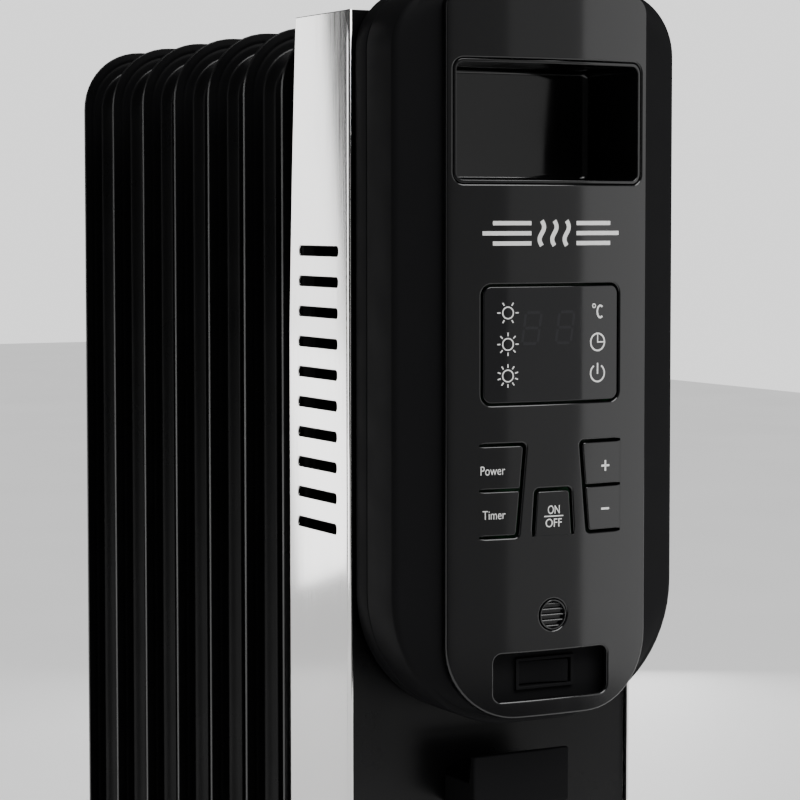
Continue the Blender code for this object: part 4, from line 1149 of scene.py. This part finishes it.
def makeFins():
    # rings over the rim, flange and shoulder; a lattice over the middle; both faces alike
    r = fin["edgeRound"]
    turn = np.linspace(0, np.pi / 2, 4)
    base = roundedLoop(0, finHigh[0], finLow[2], finHigh[2], fin["corner"], fin["corner"], 12)
    count = np.maximum(np.ceil(np.linalg.norm(np.roll(base, -1, 0) - base, axis=1) / (7 * mm)), 1).astype(int)

    def ringAt(inset):
        corner = fin["corner"] - inset
        loop = roundedLoop(0, finHigh[0] - inset, finLow[2] + inset, finHigh[2] - inset, corner, corner, 12)
        share = np.concatenate([np.arange(n) / n for n in count])[:, None]
        return np.repeat(loop, count, 0) * (1 - share) + np.repeat(np.roll(loop, -1, 0), count, 0) * share

    insets = np.concatenate([[3.0, 4.0, 4.4, 4.7, 5.0, 5.3, 5.6, 6.0, 7.0, 9.3], np.linspace(9.7, 14.3, 9),
                             [14.8, 16.5]]) * mm
    frontRows = [(inset, None) for inset in insets[::-1]]
    frontRows += [(r * (1 - math.sin(t)), fin["edge"] - r * (1 - math.cos(t))) for t in turn]
    points, normals = [], []

    def heightNormal(flat, sign):
        step = 0.05 * mm
        dx = (finHalf(flat[:, 0] + step, flat[:, 1]) - finHalf(flat[:, 0] - step, flat[:, 1])) / (2 * step)
        dz = (finHalf(flat[:, 0], flat[:, 1] + step) - finHalf(flat[:, 0], flat[:, 1] - step)) / (2 * step)
        return unit(np.stack([-dx, np.full(len(flat), float(sign)), -dz], 1))

    for sign in (-1, 1):
        rows = frontRows if sign < 0 else frontRows[::-1]
        for k, (inset, half) in enumerate(rows):
            flat = ringAt(inset)
            if half is None:
                y = finHalf(flat[:, 0], flat[:, 1])
                n = heightNormal(flat, sign)
            else:
                y = np.full(len(flat), half)
                away = unit(awayFrom(flat))
                t = math.asin(np.clip(1 - inset / r, 0, 1))
                n = np.stack([away[:, 0] * math.sin(t), np.full(len(flat), sign * math.cos(t)),
                              away[:, 1] * math.sin(t)], 1)
            points.append(np.stack([flat[:, 0], sign * y, flat[:, 1]], 1))
            normals.append(n)
    size = len(points[0])
    quads = gridFaces(len(points), size)
    innerLoop = ringAt(insets[-1])
    xs = np.unique(np.round(np.concatenate([np.arange(-60, 60.1, 6), np.arange(-38, -19.9, 1.5),
                                            np.arange(20, 38.1, 1.5)]), 2)) * mm
    zs = np.unique(np.round(np.concatenate([np.arange(95, 611, 6), np.arange(168, 182, 1.5),
                                            np.arange(518, 533, 1.5)]), 2)) * mm
    free, triangles = fillBetween(innerLoop, [], latticeOf(xs, zs), 1.0 * mm)
    start = len(points) * size
    faceSets = [quads]
    y = finHalf(free[:, 0], free[:, 1])
    for sign, ringStart in ((-1, 0), (1, (len(points) - 1) * size)):
        index = np.concatenate([ringStart + np.arange(size), start + np.arange(len(free))])
        points.append(np.stack([free[:, 0], sign * y, free[:, 1]], 1))
        normals.append(heightNormal(free, sign))
        faceSets.append(index[triangles])
        start += len(free)
    points = np.concatenate(points)
    normals = np.concatenate(normals)
    for k, node in enumerate(fins):
        offset = middleOf(node)[1]
        piece = closedPiece(f"fin_shell_{k + 1}", points + [0, offset, 0], faceSets, normals)
        settle(piece, enamel, "heater", "fin_enamel", node)


def makeHeaders():
    # necks drawn out of each fin, flared at the root and welded half-way; radius as a function of y
    first = middleOf(fins[0])[1]
    pitch = middleOf(fins[1])[1] - first
    for node in ("header_upper", "header_lower"):
        low, high = cornersOf(node)
        z = (low[2] + high[2]) / 2
        radius = (high[0] - low[0]) / 2
        ys = np.linspace(low[1] + 1.2 * mm, high[1] - 1.2 * mm, 420)
        phase = (ys - first) / pitch
        toFin = np.abs(phase - np.round(phase)) * pitch - fin["bulge"]
        toWeld = np.abs(phase - np.floor(phase) - 0.5) * pitch
        flare = 5.5 * mm * np.exp(-np.maximum(toFin, 0) / (2.6 * mm))
        bead = 0.7 * mm * np.exp(-(toWeld / (1.3 * mm)) ** 2)
        inside = (ys > first) & (ys < middleOf(fins[-1])[1])
        profile = np.stack([radius + flare + np.where(inside, bead, 0), ys], 1)
        ends = [(radius * 0.9, low[1]), *profile.tolist(), (radius * 0.9, high[1])]
        settle(lathePiece(node + "_necks", ends, (0, 0, z), "Y", 56), enamel, "heater", "fin_enamel", node)
    # radius and distance in front of the plug's rear face, in mm
    profile = [(19, 8), (21.5, 4.0), (21.5, 2.9), (20.6, 2.2), (12, 0.9), (11, 0.2), (10.2, 0), (5.2, 0),
               (4.8, 0.4), (4.6, 2.2)]
    rear = cornersOf("fill_plug")[1][1]
    profile = [(radius * mm, rear - ahead * mm) for radius, ahead in profile]
    cap = lathePiece("fill_plug_cap", profile, (0, 0, middleOf("fill_plug")[2]), "Y", 48, 30)
    settle(cap, enamel, "heater", "fin_enamel", "fill_plug")


print("fins")
makeFins()
makeHeaders()

# feet and castors
def makeFeet():
    # channels with broken edges; U-bolts as a circle carried up, round a half circle and down
    for end in ("front", "rear"):
        channel = softened(f"foot_{end}", 0.7 * mm, f"foot_channel_{end}", 3, 28)
        settle(channel, enamel, "heater", "case_enamel", f"foot_{end}")
        low, high = cornersOf(f"u_bolt_{end}")
        y = (low[1] + high[1]) / 2
        bend = (high[0] - low[0]) / 2 - 2.5 * mm
        top = high[2] - 2.5 * mm - bend
        a = np.radians(np.linspace(180, 0, 33))
        arch = np.stack([bend * np.cos(a), np.full(33, y), top + bend * np.sin(a)], 1)
        left = np.array([[-bend, y, z] for z in np.linspace(low[2], top, 12)[:-1]])
        right = left[::-1] * [-1, 1, 1]
        settle(tubePiece(f"u_bolt_rod_{end}", np.concatenate([left, arch, right]), 2.5 * mm), zinc, "heater",
               "zinc_steel", f"u_bolt_{end}")
        for side in ("left", "right"):
            node = f"wing_nut_{end}_{side}"
            settle(softened(node, 0.35 * mm, node + "_cast", 3, 25), zinc, "heater", "zinc_steel", node)


wheel = {
    "hub": 3.0 * mm,
    "capRadius": 5.2 * mm,
    "dish": 1.9 * mm,          # depth of the ring between cap and tyre
    "gap": 3.2 * mm,           # half the space between the two wheels
}
castor = {
    "hoodHalf": 13.5 * mm,
    "hoodThick": 2.2 * mm,
    "hoodClear": 3.3 * mm,     # from the tyre to the middle of the hood's wall
    "trail": 12 * mm,          # from the swivel to the axle
    "webThick": 4.8 * mm,
}


def makeWheel(corner):
    # one half profile, radius against distance from the middle, turned about X with its mirror image
    low, high = cornersOf(f"castor_wheel_{corner}")
    r = (high[2] - low[2]) / 2
    w = (high[0] - low[0]) / 2
    gap, dish, cap = wheel["gap"], wheel["dish"], wheel["capRadius"]
    face = [(0.6 * mm, w - 0.1 * mm), (cap - 1.2 * mm, w - 0.25 * mm), (cap - 0.3 * mm, w - 0.6 * mm),
            (cap, w - 1.2 * mm), (cap + 0.2 * mm, w - dish), (r - 6.6 * mm, w - dish)]
    tyre = [(6.2 * mm, dish - 0.5 * mm), (5.8 * mm, 0.5 * mm), (5.2 * mm, 0.1 * mm), (4.2 * mm, 0),
            (2.4 * mm, 0.2 * mm), (1.1 * mm, 0.8 * mm), (0.3 * mm, 1.9 * mm), (0.05 * mm, 3.2 * mm)]
    outer = face + [(r - inward, w - down) for inward, down in tyre]
    outer += [(r, (w + gap) / 2), (r - 0.1 * mm, gap + 1.6 * mm), (r - 0.6 * mm, gap + 0.6 * mm),
              (r - 1.5 * mm, gap), (wheel["hub"], gap)]
    profile = outer + [(radius, -height) for radius, height in outer[::-1]]
    piece = lathePiece(f"wheel_{corner}", profile, (low + high) / 2, "X", 72, 40)
    settle(piece, tread, f"wheel_{corner}", "castor_tread", f"castor_wheel_{corner}")


def makeFork(corner):
    # hood: a rounded section carried round the axle; web: a flat sheet; collar and stem: turned
    node = f"castor_fork_{corner}"
    body = f"castor_{corner}"
    x, axleY, r = middleOf(f"castor_wheel_{corner}")
    swivelY = axleY - castor["trail"]
    half = castor["hoodThick"] / 2
    section = roundedLoop(0, castor["hoodHalf"], -half, half, 0.9 * mm, 0.9 * mm, 5)
    a = np.radians(np.linspace(18, 162, 40))[:, None]
    reach = r + castor["hoodClear"] + section[:, 1]
    rings = np.stack([np.broadcast_to(x + section[:, 0], (40, len(section))), axleY + reach * np.cos(a),
                      r + reach * np.sin(a)], -1)
    settle(ringPiece(f"castor_hood_{corner}", rings), nylon, body, "castor_plastic", node)
    rootZ = 58.0 * mm
    web = corneredLoop([(swivelY - 8 * mm, rootZ), (swivelY - 8 * mm, r + 11 * mm),
                        (axleY - 6.2 * mm, r - 4.2 * mm), (axleY + 6.2 * mm, r - 4.2 * mm),
                        (axleY + 10.5 * mm, r + 13 * mm), (swivelY + 10 * mm, rootZ)],
                       [1 * mm, 6 * mm, 5 * mm, 5 * mm, 6 * mm, 1 * mm])
    thick = castor["webThick"]

    def place(y, z, depth):
        return np.stack([x + thick / 2 - depth + np.zeros(len(y)), y, z], 1)

    lattice = latticeOf(np.arange(-10, 20, 4) * mm + swivelY, np.arange(18, 56, 4) * mm)
    piece = sheetPiece(f"castor_web_{corner}", place, spacedLoop(web, 3 * mm), [], lattice, 0.6 * mm, thick,
                       1 * mm)
    settle(piece, nylon, body, "castor_plastic")
    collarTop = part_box("foot_front")[0].z - 1.0 * mm
    collar = [(8.6 * mm, r + 21 * mm), (9.5 * mm, r + 22 * mm)]
    collar += [(radius * mm, collarTop - down * mm) for radius, down in
               ((9.5, 5.2), (9.2, 4.8), (7.6, 4.4), (7.6, 3.2), (8.6, 2.8), (8.6, 0.5), (8.1, 0))]
    piece = lathePiece(f"castor_collar_{corner}", collar, (x, swivelY, 0), "Z", 40, 30)
    settle(piece, nylon, body, "castor_plastic")
    stemTop = cornersOf(node)[1][2]
    stem = [(4 * mm, collarTop - 3 * mm)]
    stem += [(radius * mm, stemTop - down * mm) for radius, down in
             ((4, 3.0), (3.5, 2.6), (3.5, 1.8), (4, 1.4), (3.6, 0.3), (3.0, 0))]
    piece = lathePiece(f"castor_stem_{corner}", stem, (x, swivelY, 0), "Z", 32)
    settle(piece, zinc, body, "zinc_steel")


print("feet and castors")
makeFeet()
for corner in corners:
    makeWheel(corner)
    makeFork(corner)

# inner solids of the frame that stay as they are, with their finishes

for nodes, look in ((("heating_element", "thermal_fuse", "element_flange", "transformer"), zinc),
                    (("element_gasket",), rubber),
                    (("display_board", "key_board", "power_board"), board),
                    (("overheat_cutout", "room_sensor", "led_digits", "relay_left", "relay_right"), nylon),
                    (("tip_over_switch", "terminal_block"), ivory)):
    for node in nodes:
        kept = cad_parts[node].data.materials
        kept.clear()
        kept.append(look)

# camera, floor and lights
def makeCamera():
    data = bpy.data.cameras.new("camera")
    data.lens = 114.43
    data.sensor_width = 36
    data.shift_x = -0.036375
    data.shift_y = -0.045525
    camera = addObject("camera", data)
    camera.location = (-0.59711, -1.20913, 0.535)
    camera.rotation_euler = (math.radians(90 - 3.33), 0, math.radians(-28))
    bpy.context.scene.camera = camera


def makeFloor():
    # a pale sweep that ends short in front, so that the low panel doesn't mirror it
    mesh = bpy.data.meshes.new("studio_floor")
    mesh.from_pydata([(-4, -1.15, 0), (4, -1.15, 0), (4, 9, 0), (-4, 9, 0)], [], [(0, 1, 2, 3)])
    floor = addObject("studio_floor", mesh)
    made, tree, shader, place = blankMaterial("paintedFloor", "#f0f0f0", 0.6)
    varied(tree, shader, place, 300 * mm, "Roughness", 0.55, 0.65)
    mesh.materials.append(made)


def softbox(name, spot, aim, width, height, radiance, roll=0.0):
    # a lamp panel of a given radiance: power = radiance x pi x area
    data = bpy.data.lights.new(name, "AREA")
    data.shape = "RECTANGLE"
    data.size = width
    data.size_y = height
    data.energy = radiance * math.pi * width * height
    lamp = addObject(name, data)
    spot = np.array(spot, float)
    toward = unit(np.array(aim, float) - spot)
    azimuth = math.atan2(toward[0], toward[1])
    tilt = math.asin(toward[2])
    lamp.location = spot
    lamp.rotation_mode = "XYZ"
    lamp.rotation_euler = (math.radians(90) + tilt, math.radians(roll), -azimuth)
    lamp.visible_camera = False


def frontBox(name, start, end, distance, low, high, radiance, pivot=(0, -0.2)):
    # a softbox that spans two bearings, in degrees from -Y towards +X, seen from the panel
    middle = math.radians((start + end) / 2)
    width = 2 * distance * math.tan(math.radians((end - start) / 2))
    spot = (pivot[0] + distance * math.sin(middle), pivot[1] - distance * math.cos(middle), (low + high) / 2)
    softbox(name, spot, (*pivot, (low + high) / 2), width, high - low, radiance)


def makeLights():
    frontBox("key_softbox_outer", 62, 88, 1.6, 0.02, 1.5, 1.3)
    frontBox("key_softbox", 38.4, 62, 1.6, 0.02, 1.5, 1.5)
    frontBox("fill_near", 18.3, 38.3, 1.6, 0.02, 1.5, 0.55)
    frontBox("fill_dim", 3.5, 18.2, 1.6, 0.02, 1.5, 0.27)
    frontBox("edge_strip_light", -74, -68, 1.6, 0.02, 1.4, 2.5)
    softbox("strip_softbox", (-0.826, 1.535, 0.55), (-0.123, 0.098, 0.55), 0.18, 0.9, 3.0, -9)
    softbox("rim_softbox", (0.85, 1.35, 0.7), (0.05, -0.05, 0.6), 0.5, 1.3, 3.5)
    data = bpy.data.lights.new("ceiling_glow", "SUN")
    data.energy = 4.0
    data.angle = math.radians(50)
    glow = addObject("ceiling_glow", data)
    glow.rotation_euler = (math.radians(34), 0, math.radians(18))


def makeWorld():
    # pale to the eye, dim to everything else
    world = bpy.data.worlds.new("studio")
    bpy.context.scene.world = world
    world.use_nodes = True
    tree = world.node_tree
    tree.nodes.clear()
    seen = addNode(tree, "ShaderNodeBackground", {"Color": tone("#f2f2f2"), "Strength": 1.7})
    unseen = addNode(tree, "ShaderNodeBackground", {"Color": tone("#f2f2f2"), "Strength": 0.08})
    path = addNode(tree, "ShaderNodeLightPath")
    both = addNode(tree, "ShaderNodeMixShader", None, {0: path.outputs["Is Camera Ray"],
                                                       1: unseen.outputs[0], 2: seen.outputs[0]})
    addNode(tree, "ShaderNodeOutputWorld", None, {"Surface": both.outputs[0]})


print("studio")
makeCamera()
makeFloor()
makeLights()
makeWorld()
